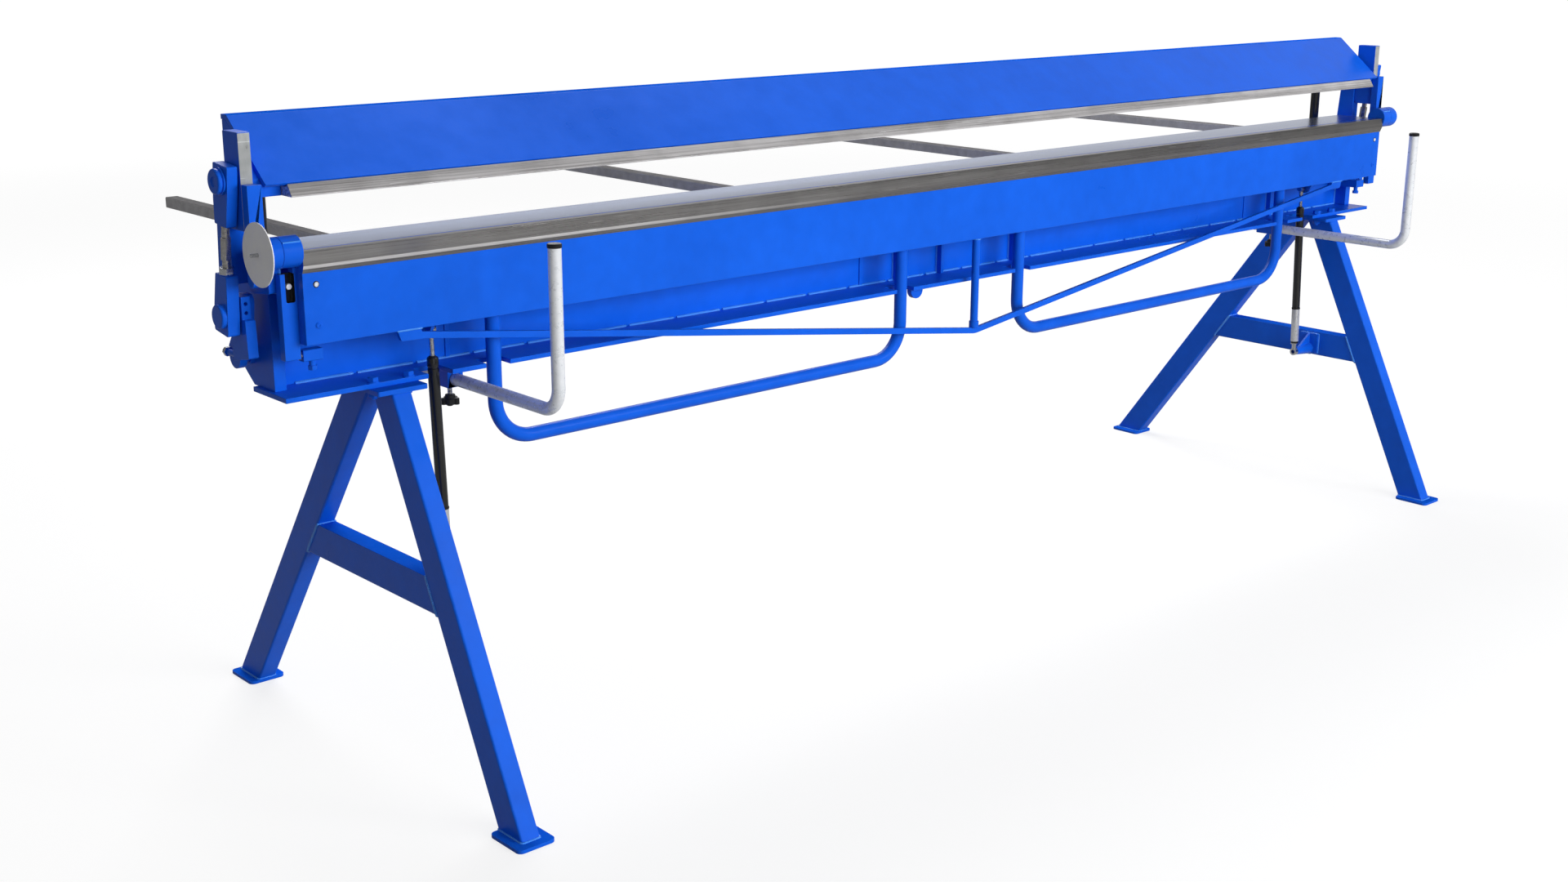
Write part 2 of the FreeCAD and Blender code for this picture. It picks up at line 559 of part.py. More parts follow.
# Gas springs: hollow cylinders with an eye, and rods with a piston
def spring_cylinder(eye, other, x, radius, rod_radius, length, offset=0.0):
    """A cylinder from its eye towards the other pivot, bored for the piston and the rod."""
    axis = vec(0, other[0] - eye[0], other[1] - eye[1]).normalize()
    base = vec(x, *eye)

    def up(s):
        return base.add(vec(*axis).multiply(s))

    body = Part.makeCylinder(radius, length - 20, up(20), axis)
    neck = Part.makeCylinder(radius * 0.62, 16, up(6), axis)
    ear = rod("x", eye, 9, x - 5, x + 5)
    bore = Part.makeCylinder(radius - 1.2, length - 40, up(32), axis)
    mouth = Part.makeCylinder(rod_radius + 0.1, 30, up(length - 20), axis)
    return joined(body, neck, ear).cut(bore).cut(mouth).cut(rod("x", eye, 5 + RUN_FIT, x - 8, x + 8))


def spring_rod(eye, other, x, radius, piston, length):
    """A rod from its eye towards the other pivot, with a piston at its far end."""
    axis = vec(0, other[0] - eye[0], other[1] - eye[1]).normalize()
    base = vec(x, *eye)

    def up(s):
        return base.add(vec(*axis).multiply(s))

    shaft = Part.makeCylinder(radius, length - 6, up(6), axis)
    disc = Part.makeCylinder(piston, 8, up(length - 8), axis)
    nut = Part.makeCylinder(radius + 1.2, 8, up(7), axis)
    body = joined(shaft, disc, nut, rod("x", eye, 8, x - radius - 2, x + radius + 2))
    return body.cut(rod("x", eye, 4 + RUN_FIT, x - 10, x + 10))


def make_gas_springs():
    span = math.hypot(SPRING_HEAD[0] - SPRING_FOOT[0], SPRING_HEAD[1] - SPRING_FOOT[1])
    front_barrel = spring_cylinder(SPRING_FOOT, SPRING_HEAD, SPRING_X, SPRING_R, SPRING_ROD_R, span - 38)
    front_rod = spring_rod(SPRING_HEAD, SPRING_FOOT, SPRING_X, SPRING_ROD_R, 7.9, span - 86)
    keep("spring_cylinder_left", mirrored(front_barrel))
    keep("spring_cylinder_right", front_barrel)
    keep("spring_rod_left", mirrored(front_rod))
    keep("spring_rod_right", front_rod)
    low = (REAR_SPRING_Y, REAR_SPRING_Z[0])
    high = (REAR_SPRING_Y, REAR_SPRING_Z[1])
    barrel = spring_cylinder(high, low, REAR_SPRING_X, 11, 5, 215)
    keep("rear_spring_cylinders", *pair(barrel))
    piston_rod = spring_rod(low, high, REAR_SPRING_X, 5, 9.3, 205)
    pivot = joined(rod("x", low, 4 + RUN_FIT, REAR_SPRING_X - 7, END_PLATE_X[0]),
                   rod("x", low, 7, REAR_SPRING_X + 7, END_PLATE_X[0]))
    keep("rear_spring_rods", *pair(joined(piston_rod, pivot)))


# Bending beam: blade on a plate, arms with the hinge pins, bars for the hands, tie and strut below
def make_bending_beam():
    keep("bending_plate", box((-HALF_LENGTH, HALF_LENGTH), (0, PLATE_THICK), (PLATE_LOW_Z, BLADE_LOW_Z)))
    blade = profile([(-BLADE_PROUD, TABLE_Z, 1), (11.5, TABLE_Z), (11.5, BLADE_LOW_Z), (-1, BLADE_LOW_Z),
                     (-BLADE_PROUD, BLADE_LOW_Z + 12)], "x", -HALF_LENGTH, HALF_LENGTH)
    keep("bending_blade", blade)
    side = box((1494, HALF_LENGTH), (PLATE_THICK, 35), (PLATE_LOW_Z, 888))
    riser = profile([(20, 873), (35, 873), (37.3, 903), (AXIS_Y, TABLE_Z)], "x", 1499, 1505)
    eye = rod("x", (AXIS_Y, TABLE_Z), HINGE_R, HALF_LENGTH, 1531.5)
    pin = rod("x", (AXIS_Y, TABLE_Z), HINGE_PIN_R, 1531, 1560.3)
    bar = profile([(20, 740, 2), (35, 740, 2), (35, 873), (20, 873)], "x", HALF_LENGTH, 1526)
    bar = bar.cut(profile([(1503, 829, 3), (1518, 829, 3), (1518, 880), (1503, 880)], "y", 19, 30))
    arm = joined(side, riser, eye, pin)
    keep("hinge_arm_left", mirrored(arm), mirrored(bar))
    keep("hinge_arm_right", arm, bar)
    screws = []
    for z in (856.0, 793.0):
        screws += pair(ring("y", (1478, z), 5, 2, -2, 0))
    screws += pair(hexagon("y", (1510.5, 853), 9, 22, 30))
    keep("beam_screws", *screws)
    disc = ring("x", (AXIS_Y, TABLE_Z), 48.5, 3, 1560.3, 1561.8)
    screw = rod("x", (AXIS_Y, TABLE_Z), 3, 1560.3, 1574)
    screw = screw.makeChamfer(0.8, [e for e in screw.Edges if e.BoundBox.XMin > 1573.9])
    keep("angle_disc", mirrored(disc), mirrored(screw))
    outer, inner = BAR_LEGS_X
    path = [vec(outer, BAR_Y, BAR_TOP_Z), vec(outer, BAR_Y, BAR_LOW_Z), vec(inner, BAR_Y, BAR_LOW_Z),
            vec(inner, BAR_Y, BAR_TOP_Z)]
    bent = pipe(path, BAR_R, 2.5, BAR_BEND_R)
    keep("bending_bar_left", mirrored(bent))
    keep("bending_bar_right", bent)
    brackets = []
    for x in BAR_LEGS_X:
        block = box((x - 16, x + 16), (PLATE_THICK, BAR_Y - 6), (776, 832))
        brackets += pair(block.cut(rod("z", (x, BAR_Y), BAR_R, 700, 900)))
    keep("bar_brackets", *brackets)
    make_truss()
    lug = profile([(PLATE_THICK, 766), (PLATE_THICK, 812, 4), (30, 800, 8), (SPRING_HEAD[0] + 11, 757, 10),
                   (SPRING_HEAD[0] + 9, 735, 9), (SPRING_HEAD[0] - 12, 737, 8), (26, 764, 6)],
                  "x", SPRING_X + 6.5, SPRING_X + 13)
    lug = joined(lug, rod("x", SPRING_HEAD, 6, SPRING_X + 13, SPRING_X + 17),
                 rod("x", SPRING_HEAD, 4, SPRING_X - 7.5, SPRING_X + 13),
                 rod("x", SPRING_HEAD, 6, SPRING_X - 9.5, SPRING_X - 6.5))
    keep("spring_lugs", *pair(lug))


def make_truss():
    """Tie bar with a tab at each end, bent at the middle where the strut pushes it down."""
    end_x = 1300.0
    top = 758.0
    low = 746.0
    drop = 178.0
    outline = [(-1343, PLATE_LOW_Z), (-end_x, PLATE_LOW_Z), (-end_x, top, 3), (0, top - drop, 40),
               (end_x, top, 3), (end_x, PLATE_LOW_Z), (1343, PLATE_LOW_Z), (1337, low + 1, 3),
               (end_x - 8, low, 20), (0, low - drop, 60), (8 - end_x, low, 20), (-1337, low + 1, 3)]
    tie = profile(outline, "y", 1, 9)
    keep("truss_tie", tie)
    middle_y = 6.0
    strut = rod("z", (0, middle_y), 8, top - drop + 0.5, PLATE_LOW_Z)
    collar = rod("z", (0, middle_y), 10, top - drop + 0.5, top - drop + 14)
    keep("truss_strut", joined(strut, collar).cut(tie))


make_bed()
make_hinge_posts()
make_stands()
make_rails()
make_supports()
make_stops_and_pivots()
make_clamp_shaft()
make_links()
make_clamping_beam()
make_gas_springs()
make_bending_beam()

os.makedirs("parts", exist_ok=True)
for name, shape in PIECES.items():
    shape.exportStep("parts/" + name + ".step")
print(len(PIECES), "nodes")
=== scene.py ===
import bmesh
import bpy
import math
from mathutils import Matrix, Vector


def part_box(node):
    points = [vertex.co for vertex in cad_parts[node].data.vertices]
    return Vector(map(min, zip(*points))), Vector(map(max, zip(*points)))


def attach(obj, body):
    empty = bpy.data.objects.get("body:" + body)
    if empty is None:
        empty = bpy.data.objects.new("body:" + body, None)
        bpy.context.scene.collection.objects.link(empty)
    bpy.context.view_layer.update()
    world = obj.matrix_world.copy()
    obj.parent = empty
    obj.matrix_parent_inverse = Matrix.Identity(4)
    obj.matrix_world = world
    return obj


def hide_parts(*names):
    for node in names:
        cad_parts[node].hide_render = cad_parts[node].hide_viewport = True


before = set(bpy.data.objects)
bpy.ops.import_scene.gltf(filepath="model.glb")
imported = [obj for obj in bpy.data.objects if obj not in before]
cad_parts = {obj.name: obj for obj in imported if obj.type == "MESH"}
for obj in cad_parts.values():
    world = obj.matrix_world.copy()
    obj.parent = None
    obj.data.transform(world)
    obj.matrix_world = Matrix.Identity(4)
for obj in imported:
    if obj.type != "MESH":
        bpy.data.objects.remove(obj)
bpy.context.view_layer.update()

# A manual sheet metal folder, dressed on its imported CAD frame: +X along the machine, -Y the operator,
# +Z up, in metres. The folder stands open, with its clamping beam lifted and its bending beam at rest.

# Camera
# Stands left of the machine at eye height and looks along it, as the photograph was taken.
FOCAL_PIXELS = 2279.0
PHOTO_WIDTH = 1920
CAMERA_PLACE = Vector((-2.8035, -2.7806, 1.3846))
CAMERA_YAW = math.radians(42.14)
CAMERA_PITCH = math.radians(15.63)
CAMERA_ROLL = math.radians(0.21)

look = Vector((math.sin(CAMERA_YAW) * math.cos(CAMERA_PITCH),
               math.cos(CAMERA_YAW) * math.cos(CAMERA_PITCH), -math.sin(CAMERA_PITCH)))
level = look.cross(Vector((0, 0, 1))).normalized()
upright = level.cross(look)
across = level * math.cos(CAMERA_ROLL) + upright * math.sin(CAMERA_ROLL)
above = upright * math.cos(CAMERA_ROLL) - level * math.sin(CAMERA_ROLL)
camera_data = bpy.data.cameras.new("camera")
camera_data.sensor_width = 36.0
camera_data.lens = camera_data.sensor_width * FOCAL_PIXELS / PHOTO_WIDTH
camera = bpy.data.objects.new("camera", camera_data)
turned_to = Matrix((across, above, -look)).transposed().to_4x4()
camera.matrix_world = Matrix.Translation(CAMERA_PLACE) @ turned_to
bpy.context.scene.collection.objects.link(camera)
bpy.context.scene.camera = camera


# Studio
# A pale floor that runs out of sight, in a white world. A broad diffused lamp stands in front, with two
# small ones beside it for the glints, and one behind; the left gets only the room's light, so that the
# end faces turn darker as in the photograph.
def fill(tree, node, inputs):
    """Sets a node's inputs: each takes a value, the socket of another node, or a list of sockets."""
    for key, value in inputs.items():
        for source in value if isinstance(value, list) else [value]:
            if isinstance(source, bpy.types.NodeSocket):
                tree.links.new(source, node.inputs[key])
            else:
                node.inputs[key].default_value = source


def put(tree, kind, inputs=None, result=0, **settings):
    """Adds a node with its settings and inputs, and returns the output that is the result."""
    node = tree.nodes.new(kind)
    for key, value in settings.items():
        setattr(node, key, value)
    fill(tree, node, inputs or {})
    return node.outputs[result]


def maths(tree, operation, first, second=0.0):
    return put(tree, "ShaderNodeMath", {0: first, 1: second}, operation=operation)


def times(tree, first, *others):
    for other in others:
        first = maths(tree, "MULTIPLY", first, other)
    return first


def spread(tree, value, low, high, low_in=0.3, high_in=0.7, kind="LINEAR"):
    """Stretches a value from its range (low_in, high_in) to (low, high)."""
    ends = {"From Min": low_in, "From Max": high_in, "To Min": low, "To Max": high, "Value": value}
    return put(tree, "ShaderNodeMapRange", ends, "Result", interpolation_type=kind)


WHITE = (1, 1, 1, 1)
FLOOR_GREY = (0.26, 0.26, 0.26, 1)
FLOOR_HALF = 60
FLOOR_GLOW = (0.76, 0.95)
FLOOR_FADE = (2.5, 9.0)
FLOOR_GLOSS = 0.15

floor_material = bpy.data.materials.new("studio_floor")
floor_material.use_nodes = True
floor_tree = floor_material.node_tree
floor_place = put(floor_tree, "ShaderNodeTexCoord", result="Object")
floor_reach = put(floor_tree, "ShaderNodeVectorMath", {0: floor_place}, "Value", operation="LENGTH")
floor_glow = spread(floor_tree, floor_reach, *FLOOR_GLOW, *FLOOR_FADE)
floor_seen = times(floor_tree, put(floor_tree, "ShaderNodeLightPath", result="Is Camera Ray"), floor_glow)
floor_gloss = times(floor_tree, put(floor_tree, "ShaderNodeLightPath", result="Is Glossy Ray"), FLOOR_GLOSS)
fill(floor_tree, floor_tree.nodes["Principled BSDF"], {
    "Base Color": FLOOR_GREY, "Roughness": 0.9, "Specular IOR Level": 0.0, "Emission Color": WHITE,
    "Emission Strength": maths(floor_tree, "ADD", floor_seen, floor_gloss)})
floor_mesh = bpy.data.meshes.new("studio_floor")
floor_corners = [(x * FLOOR_HALF, y * FLOOR_HALF, 0) for x, y in ((-1, -1), (1, -1), (1, 1), (-1, 1))]
floor_mesh.from_pydata(floor_corners, [], [(0, 1, 2, 3)])
floor_mesh.materials.append(floor_material)
floor = bpy.data.objects.new("studio_floor", floor_mesh)
bpy.context.scene.collection.objects.link(floor)

ROOM_LIGHT = 0.26
ROOM_GLOSS = (0.18, 0.80)
WINDOW_SIDE = (0.93, 0.37, 0.0)
WINDOW_FADE = (0.45, 1.05)

world = bpy.data.worlds.new("studio")
world.use_nodes = True
bpy.context.scene.world = world
sky_tree = world.node_tree
sky_way = put(sky_tree, "ShaderNodeTexCoord", result="Generated")
sky_side = put(sky_tree, "ShaderNodeVectorMath", {0: sky_way, 1: WINDOW_SIDE}, "Value",
               operation="DOT_PRODUCT")
sky_gloss = spread(sky_tree, sky_side, *ROOM_GLOSS, *WINDOW_FADE, "SMOOTHSTEP")
sky_level = ROOM_LIGHT
for ray, strength in (("Is Glossy Ray", sky_gloss), ("Is Camera Ray", 1.0)):
    is_ray = put(sky_tree, "ShaderNodeLightPath", result=ray)
    sky_level = put(sky_tree, "ShaderNodeMix", {"Factor": is_ray, "A": sky_level, "B": strength}, "Result")
fill(sky_tree, sky_tree.nodes["Background"], {"Color": WHITE, "Strength": sky_level})


def lamp(name, place, target, size, power, mirrored=True):
    data = bpy.data.lights.new(name, "AREA")
    data.shape = "RECTANGLE"
    data.size, data.size_y = size
    data.energy = power
    made = bpy.data.objects.new(name, data)
    aim = Vector(target) - Vector(place)
    made.matrix_world = Matrix.Translation(place) @ aim.to_track_quat("-Z", "Y").to_matrix().to_4x4()
    made.visible_glossy = mirrored
    bpy.context.scene.collection.objects.link(made)


lamp("front_lamp", (0.8, -5.8, 1.8), (0, 0, 0.7), (4.5, 2.4), 325, mirrored=False)
lamp("front_glint", (2.6, -5.0, 3.0), (0, 0, 0.8), (1.8, 0.4), 24)
lamp("post_glint", (-2.4, -5.6, 1.9), (0, 0, 0.8), (0.7, 2.4), 16)
lamp("rear_lamp", (1.2, 2.8, 4.0), (0, 0, 0.8), (4.0, 2.0), 190)

bpy.context.scene.view_settings.view_transform = "Standard"

# Stands
# Two A-frames of rectangular tube on thin foot plates, welded and then sprayed with blue enamel. The coat
# has a fine orange peel and is a little chipped along its edges, where it is painted paler: partly wear,
# partly a painted highlight.
EDGE_ANGLE = math.radians(30)
FLAT_ANGLE = math.radians(0.6)
WELD_GAP = 0.00002
# A face looks along an axis when that part of its normal is over this.
SQUARE_ON = 0.9
DUST = (0.42, 0.42, 0.40)
CHIP_LEVEL = 0.52
COAT_ROUGHNESS = 0.12
# The colour sockets of the mix node, which share their names with others.
MIX_COLOURS = (6, 7)
MIX_RESULT = 2


def named_inputs(tree, inputs):
    for label, value in inputs.items():
        socket = tree.interface.new_socket(label, in_out="INPUT", socket_type="NodeSocketFloat")
        socket.default_value = value


def new_group(name, inputs, outputs):
    """A shader node group with float inputs and outputs: returns tree, given sockets and output node."""
    tree = bpy.data.node_groups.new(name, "ShaderNodeTree")
    named_inputs(tree, inputs)
    for label in outputs:
        tree.interface.new_socket(label, in_out="OUTPUT", socket_type="NodeSocketFloat")
    return tree, tree.nodes.new("NodeGroupInput").outputs, tree.nodes.new("NodeGroupOutput")


def noise(tree, vector, scale, detail=2.0, roughness=0.5):
    values = {"Scale": scale, "Detail": detail, "Roughness": roughness, "Vector": vector}
    return put(tree, "ShaderNodeTexNoise", values, "Fac")


def stretched(tree, *scale):
    """Object coordinates, times a scale for each axis."""
    place = put(tree, "ShaderNodeTexCoord", result="Object")
    return put(tree, "ShaderNodeMapping", {"Scale": scale, "Vector": place}, "Vector")


def coat_group():
    """Sprayed coat: slow drift of tone, orange peel, and pale marks on edges that are partly chips and
    partly a painted highlight.
    """
    tree, given, out = new_group("sprayed_coat", {"Edge Wear And Highlight": 0.5}, ["Tone", "Worn And Highlight", "Height"])
    even = stretched(tree, 1, 1, 1)
    drift = noise(tree, even, 3.5)
    cloud = noise(tree, even, 26.0, 3.0)
    grit = noise(tree, even, 420.0, 3.0, 0.6)
    peel = noise(tree, even, 900.0, 1.0)
    ripple = noise(tree, even, 90.0, 1.0)
    edge = put(tree, "ShaderNodeAttribute", result="Fac", attribute_name="edge")
    chips_and_highlight = times(tree, maths(tree, "GREATER_THAN", grit, CHIP_LEVEL), edge)
    fill(tree, out, {"Tone": maths(tree, "ADD", times(tree, drift, 0.6), times(tree, cloud, 0.4)),
                     "Worn And Highlight": times(tree, chips_and_highlight, cloud, given["Edge Wear And Highlight"]),
                     "Height": maths(tree, "ADD", peel, times(tree, ripple, 2.0))})
    return tree


def dust_group():
    """Workshop dust: a thin pale film that lies in patches on faces that look up."""
    tree, given, out = new_group("settled_dust", {"Amount": 0.12}, ["Dust"])
    even = stretched(tree, 1, 1, 1)
    specks = spread(tree, noise(tree, even, 160.0, 4.0, 0.7), 0.2, 1.0, 0.4, 0.65)
    patches = spread(tree, noise(tree, even, 7.0, 3.0), 0.3, 1.0)
    facing = put(tree, "ShaderNodeNewGeometry", result="Normal")
    upward = spread(tree, put(tree, "ShaderNodeSeparateXYZ", {0: facing}, "Z"), 0.0, 1.0, 0.5, 1.0)
    fill(tree, out, {"Dust": times(tree, specks, patches, upward, given["Amount"])})
    return tree


def grouped(tree, group, **inputs):
    """Places a node group and returns its outputs; the names of its inputs have _ for a space."""
    placed = tree.nodes.new("ShaderNodeGroup")
    placed.node_tree = group
    fill(tree, placed, {label.replace("_", " "): value for label, value in inputs.items()})
    return placed.outputs


def new_material(name, group, **inputs):
    """A material with one group on it: returns material, tree, the group's outputs and shader."""
    material = bpy.data.materials.new(name)
    material.use_nodes = True
    tree = material.node_tree
    return material, tree, grouped(tree, group, **inputs), tree.nodes["Principled BSDF"]


def blended(tree, factor, *colours):
    """A colour that goes from the first to the second colour, or socket, with the factor."""
    inputs = {"Factor": factor}
    for socket, value in zip(MIX_COLOURS, colours):
        inputs[socket] = (*value, 1) if isinstance(value, tuple) else value
    return put(tree, "ShaderNodeMix", inputs, MIX_RESULT, data_type="RGBA")


def bumped(tree, height, distance):
    return put(tree, "ShaderNodeBump", {"Distance": distance, "Height": height}, "Normal")


sprayed_coat = coat_group()
settled_dust = dust_group()


def enamel(name, dark, light, worn_and_highlight, rough, coat=0.0, specular=0.2, peel=0.00005, dust=0.02):
    material, tree, film, shader = new_material(name, sprayed_coat)
    tone = spread(tree, film["Tone"], 0.0, 1.0, 0.35, 0.65)
    colour = blended(tree, film["Worn And Highlight"], blended(tree, tone, dark, light), worn_and_highlight)
    dusty = grouped(tree, settled_dust, Amount=dust)["Dust"]
    fill(tree, shader, {
        "Base Color": blended(tree, dusty, colour, DUST), "Roughness": spread(tree, film["Tone"], *rough),
        "Coat Weight": coat, "Coat Roughness": COAT_ROUGHNESS, "Specular IOR Level": specular,
        "Normal": bumped(tree, film["Height"], peel)})
    return material


BLUE_DEEP = (0.0030, 0.098, 0.65)
BLUE_LIT = (0.0050, 0.120, 0.77)
# Paler blue for the marks on edges: partly worn paint, partly a painted highlight.
BLUE_WORN_EDGE_HIGHLIGHT = (0.05, 0.17, 0.74)
blue_enamel = enamel("blue_enamel", BLUE_DEEP, BLUE_LIT, BLUE_WORN_EDGE_HIGHLIGHT, (0.26, 0.38))
matt_enamel = enamel("matt_blue_enamel", BLUE_DEEP, BLUE_LIT, BLUE_WORN_EDGE_HIGHLIGHT, (0.60, 0.75), specular=0.0)


def adopt(name, mesh, body, slot, *nodes):
    """Files a finished mesh as a piece on its body; it stands for the CAD nodes named."""
    piece = bpy.data.objects.new(name, mesh)
    bpy.context.scene.collection.objects.link(piece)
    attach(piece, body)
    if nodes:
        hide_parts(*nodes)
    return piece


def plain_mesh(mesh, kind, tree=None, **values):
    """The mesh after one modifier, made plain; the values go to the modifier or its tree's inputs."""
    holder = bpy.data.objects.new("holder", mesh)
    bpy.context.scene.collection.objects.link(holder)
    modifier = holder.modifiers.new("finish", kind)
    if tree:
        modifier.node_group = tree
        for item in tree.interface.items_tree:
            if item.in_out == "INPUT" and item.name in values:
                modifier[item.identifier] = values[item.name]
    else:
        for key, value in values.items():
            setattr(modifier, key, value)
    graph = bpy.context.evaluated_depsgraph_get()
    made = bpy.data.meshes.new_from_object(holder.evaluated_get(graph), preserve_all_data_layers=True,
                                           depsgraph=graph)
    made.name = mesh.name
    holder.modifiers.clear()
    bpy.data.objects.remove(holder)
    bpy.data.meshes.remove(mesh)
    return made


def solid_of(node):
    work = bmesh.new()
    work.from_mesh(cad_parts[node].data)
    return work


def worked_mesh(name, work, *materials):
    """Ends the work on a shape: a mesh with its materials."""
    mesh = bpy.data.meshes.new(name)
    work.to_mesh(mesh)
    work.free()
    for material in materials:
        mesh.materials.append(material)
    return mesh


def split(work, point, normal, **away):
    bmesh.ops.bisect_plane(work, geom=work.verts[:] + work.edges[:] + work.faces[:], dist=WELD_GAP,
                           plane_co=point, plane_no=normal, **away)


def cut_off(work, point, normal):
    """Takes away what lies beyond a plane, and closes the cut."""
    split(work, point, normal, clear_outer=True)
    bmesh.ops.triangle_fill(work, use_beauty=True, edges=[edge for edge in work.edges if edge.is_boundary])
    bmesh.ops.recalc_face_normals(work, faces=work.faces)


def weld_solids(work):
    """Welds the facets of each solid; solids of one node that only touch keep their own vertices."""
    solids = [[]]
    waiting = set()
    for face in work.faces:
        solids[-1].append(face)
        corners = [tuple(round(number / WELD_GAP) for number in vert.co) for vert in face.verts]
        for start, end in zip(corners, corners[1:] + corners[:1]):
            if (end, start) in waiting:
                waiting.remove((end, start))
            else:
                waiting.add((start, end))
        if not waiting:
            solids.append([])
    for solid in solids:
        verts = list({vert.index: vert for face in solid for vert in face.verts}.values())
        bmesh.ops.remove_doubles(work, verts=verts, dist=WELD_GAP)


def is_sharp(edge):
    return edge.is_manifold and edge.calc_face_angle(0) > EDGE_ANGLE


def eased(node, body, slot, material, width=0.0006, faces=(), cuts=(), reshape=None):
    """The CAD node again, with its sharp edges rounded as on real bar and plate, and marked as edges.
    Faces that pass a test get another material; the cuts are planes (point, normal) that divide faces."""
    work = solid_of(node)
    weld_solids(work)
    if reshape:
        reshape(work)
    bmesh.ops.dissolve_limit(work, angle_limit=FLAT_ANGLE, verts=work.verts, edges=work.edges)
    bmesh.ops.recalc_face_normals(work, faces=work.faces)
    made = bmesh.ops.bevel(work, geom=[edge for edge in work.edges if is_sharp(edge)], offset=width,
                           offset_type="OFFSET", segments=2, profile=0.5, affect="EDGES",
                           clamp_overlap=False)
    layer = work.loops.layers.float.new("edge")
    for face in made["faces"]:
        for corner in face.loops:
            corner[layer] = 1.0
    for point, normal in cuts:
        split(work, point, normal)
    for face in work.faces:
        face.smooth = True
        for index, (_, test) in enumerate(faces):
            if test(face.normal, face.calc_center_median()):
                face.material_index = index + 1
    mesh = worked_mesh(node + "_finished", work, material, *[other for other, _ in faces])
    return adopt(node + "_finished", plain_mesh(mesh, "WEIGHTED_NORMAL", keep_sharp=True), body, slot, node)


def painted(body, width, *nodes, **shaping):
    """CAD nodes under blue enamel, with edges of one width."""
    for node in nodes:
        eased(node, body, "blue_paint", blue_enamel, width, **shaping)


painted("frame", 0.0006, "front_legs", "rear_legs", "crossbars", "head_plates", "foot_plates",
        faces=[(matt_enamel, lambda normal, centre: normal.z > 0.7)])


# Stand welds
# Fillet welds where legs, crossbars and plates meet: one rippled bead round each tube's end, under an
# enamel that is painted lighter than the rest as a highlight.
def geometry_tree(name, inputs):
    """A Geometry Nodes tree with named float inputs and a material: returns tree and given sockets."""
    tree = bpy.data.node_groups.new(name, "GeometryNodeTree")
    tree.interface.new_socket("Geometry", in_out="INPUT", socket_type="NodeSocketGeometry")
    named_inputs(tree, inputs)
    tree.interface.new_socket("Material", in_out="INPUT", socket_type="NodeSocketMaterial")
    tree.interface.new_socket("Geometry", in_out="OUTPUT", socket_type="NodeSocketGeometry")
    return tree, tree.nodes.new("NodeGroupInput").outputs


def finish_tree(tree, given, geometry, smooth=False):
    """Ends a tree: plain mesh, its shading and its material."""
    real = put(tree, "GeometryNodeRealizeInstances", {"Geometry": geometry})
    shaded = put(tree, "GeometryNodeSetShadeSmooth", {"Geometry": real, "Shade Smooth": smooth})
    coated = put(tree, "GeometryNodeSetMaterial", {"Geometry": shaded, "Material": given["Material"]})
    fill(tree, tree.nodes.new("NodeGroupOutput"), {0: coated})
    return tree


STEPS_PER_RIPPLE = 4.0
BEAD_CORE = 0.75


def weld_tree():
    """A weld along the edges of the mesh: a round bead that swells once for each ripple."""
    tree, given = geometry_tree("weld_bead", {
        "Bead Radius": 0.0022, "Ripple Length": 0.0035, "Ripple Depth": 0.14})
    ripple = given["Ripple Length"]
    seam = put(tree, "GeometryNodeMeshToCurve", {"Mesh": given["Geometry"]})
    step = maths(tree, "DIVIDE", ripple, STEPS_PER_RIPPLE)
    fine = put(tree, "GeometryNodeResampleCurve", {"Curve": seam, "Length": step}, mode="LENGTH")
    ripples = maths(tree, "DIVIDE", put(tree, "GeometryNodeSplineParameter", result="Length"), ripple)
    wave = times(tree, maths(tree, "SINE", times(tree, ripples, 2 * math.pi)), given["Ripple Depth"])
    uneven = times(tree, put(tree, "ShaderNodeTexNoise", {"Scale": 60.0, "Detail": 1.0}), 0.5)
    swell = maths(tree, "ADD", maths(tree, "ADD", wave, uneven), BEAD_CORE)
    ring = put(tree, "GeometryNodeCurvePrimitiveCircle", {"Resolution": 8, "Radius": given["Bead Radius"]})
    bead = put(tree, "GeometryNodeCurveToMesh", {
        "Curve": fine, "Profile Curve": ring, "Scale": swell, "Fill Caps": True})
    return finish_tree(tree, given, bead, smooth=True)


def strokes(name, *paths):
    """Loose lines through the given points, as a mesh of edges with shared corners."""
    work = bmesh.new()
    for path in paths:
        verts = [work.verts.new(point) for point in path]
        for first, second in zip(verts, verts[1:]):
            work.edges.new((first, second))
    bmesh.ops.remove_doubles(work, verts=work.verts, dist=WELD_GAP)
    return worked_mesh(name, work)


def outlines(name, node, test):
    """The outer outlines of a CAD node's flat faces that pass a test, as a mesh of edges for a weld."""
    work = solid_of(node)
    bmesh.ops.remove_doubles(work, verts=work.verts, dist=WELD_GAP)
    chosen = dict.fromkeys(face for face in work.faces if test(face.normal, face.calc_center_median()))
    kept = []
    while chosen:
        island = dict.fromkeys([chosen.popitem()[0]])
        growing = list(island)
        while growing:
            for edge in growing.pop().edges:
                for near in edge.link_faces:
                    if near in chosen:
                        del chosen[near]
                        island[near] = None
                        growing.append(near)
        corners = dict.fromkeys(vert for face in island for vert in face.verts)
        centre = sum((vert.co for vert in corners), Vector()) / len(corners)
        for edge in [edge for face in island for edge in face.edges]:
            ends = [vert.co.copy() for vert in edge.verts]
            outward = (ends[0] + ends[1]) / 2 - centre
            for other in edge.link_faces:
                if other not in island and other.normal.dot(outward) > 0:
                    kept.append(ends)
    work.free()
    return strokes(name, *kept)


weld_bead = weld_tree()
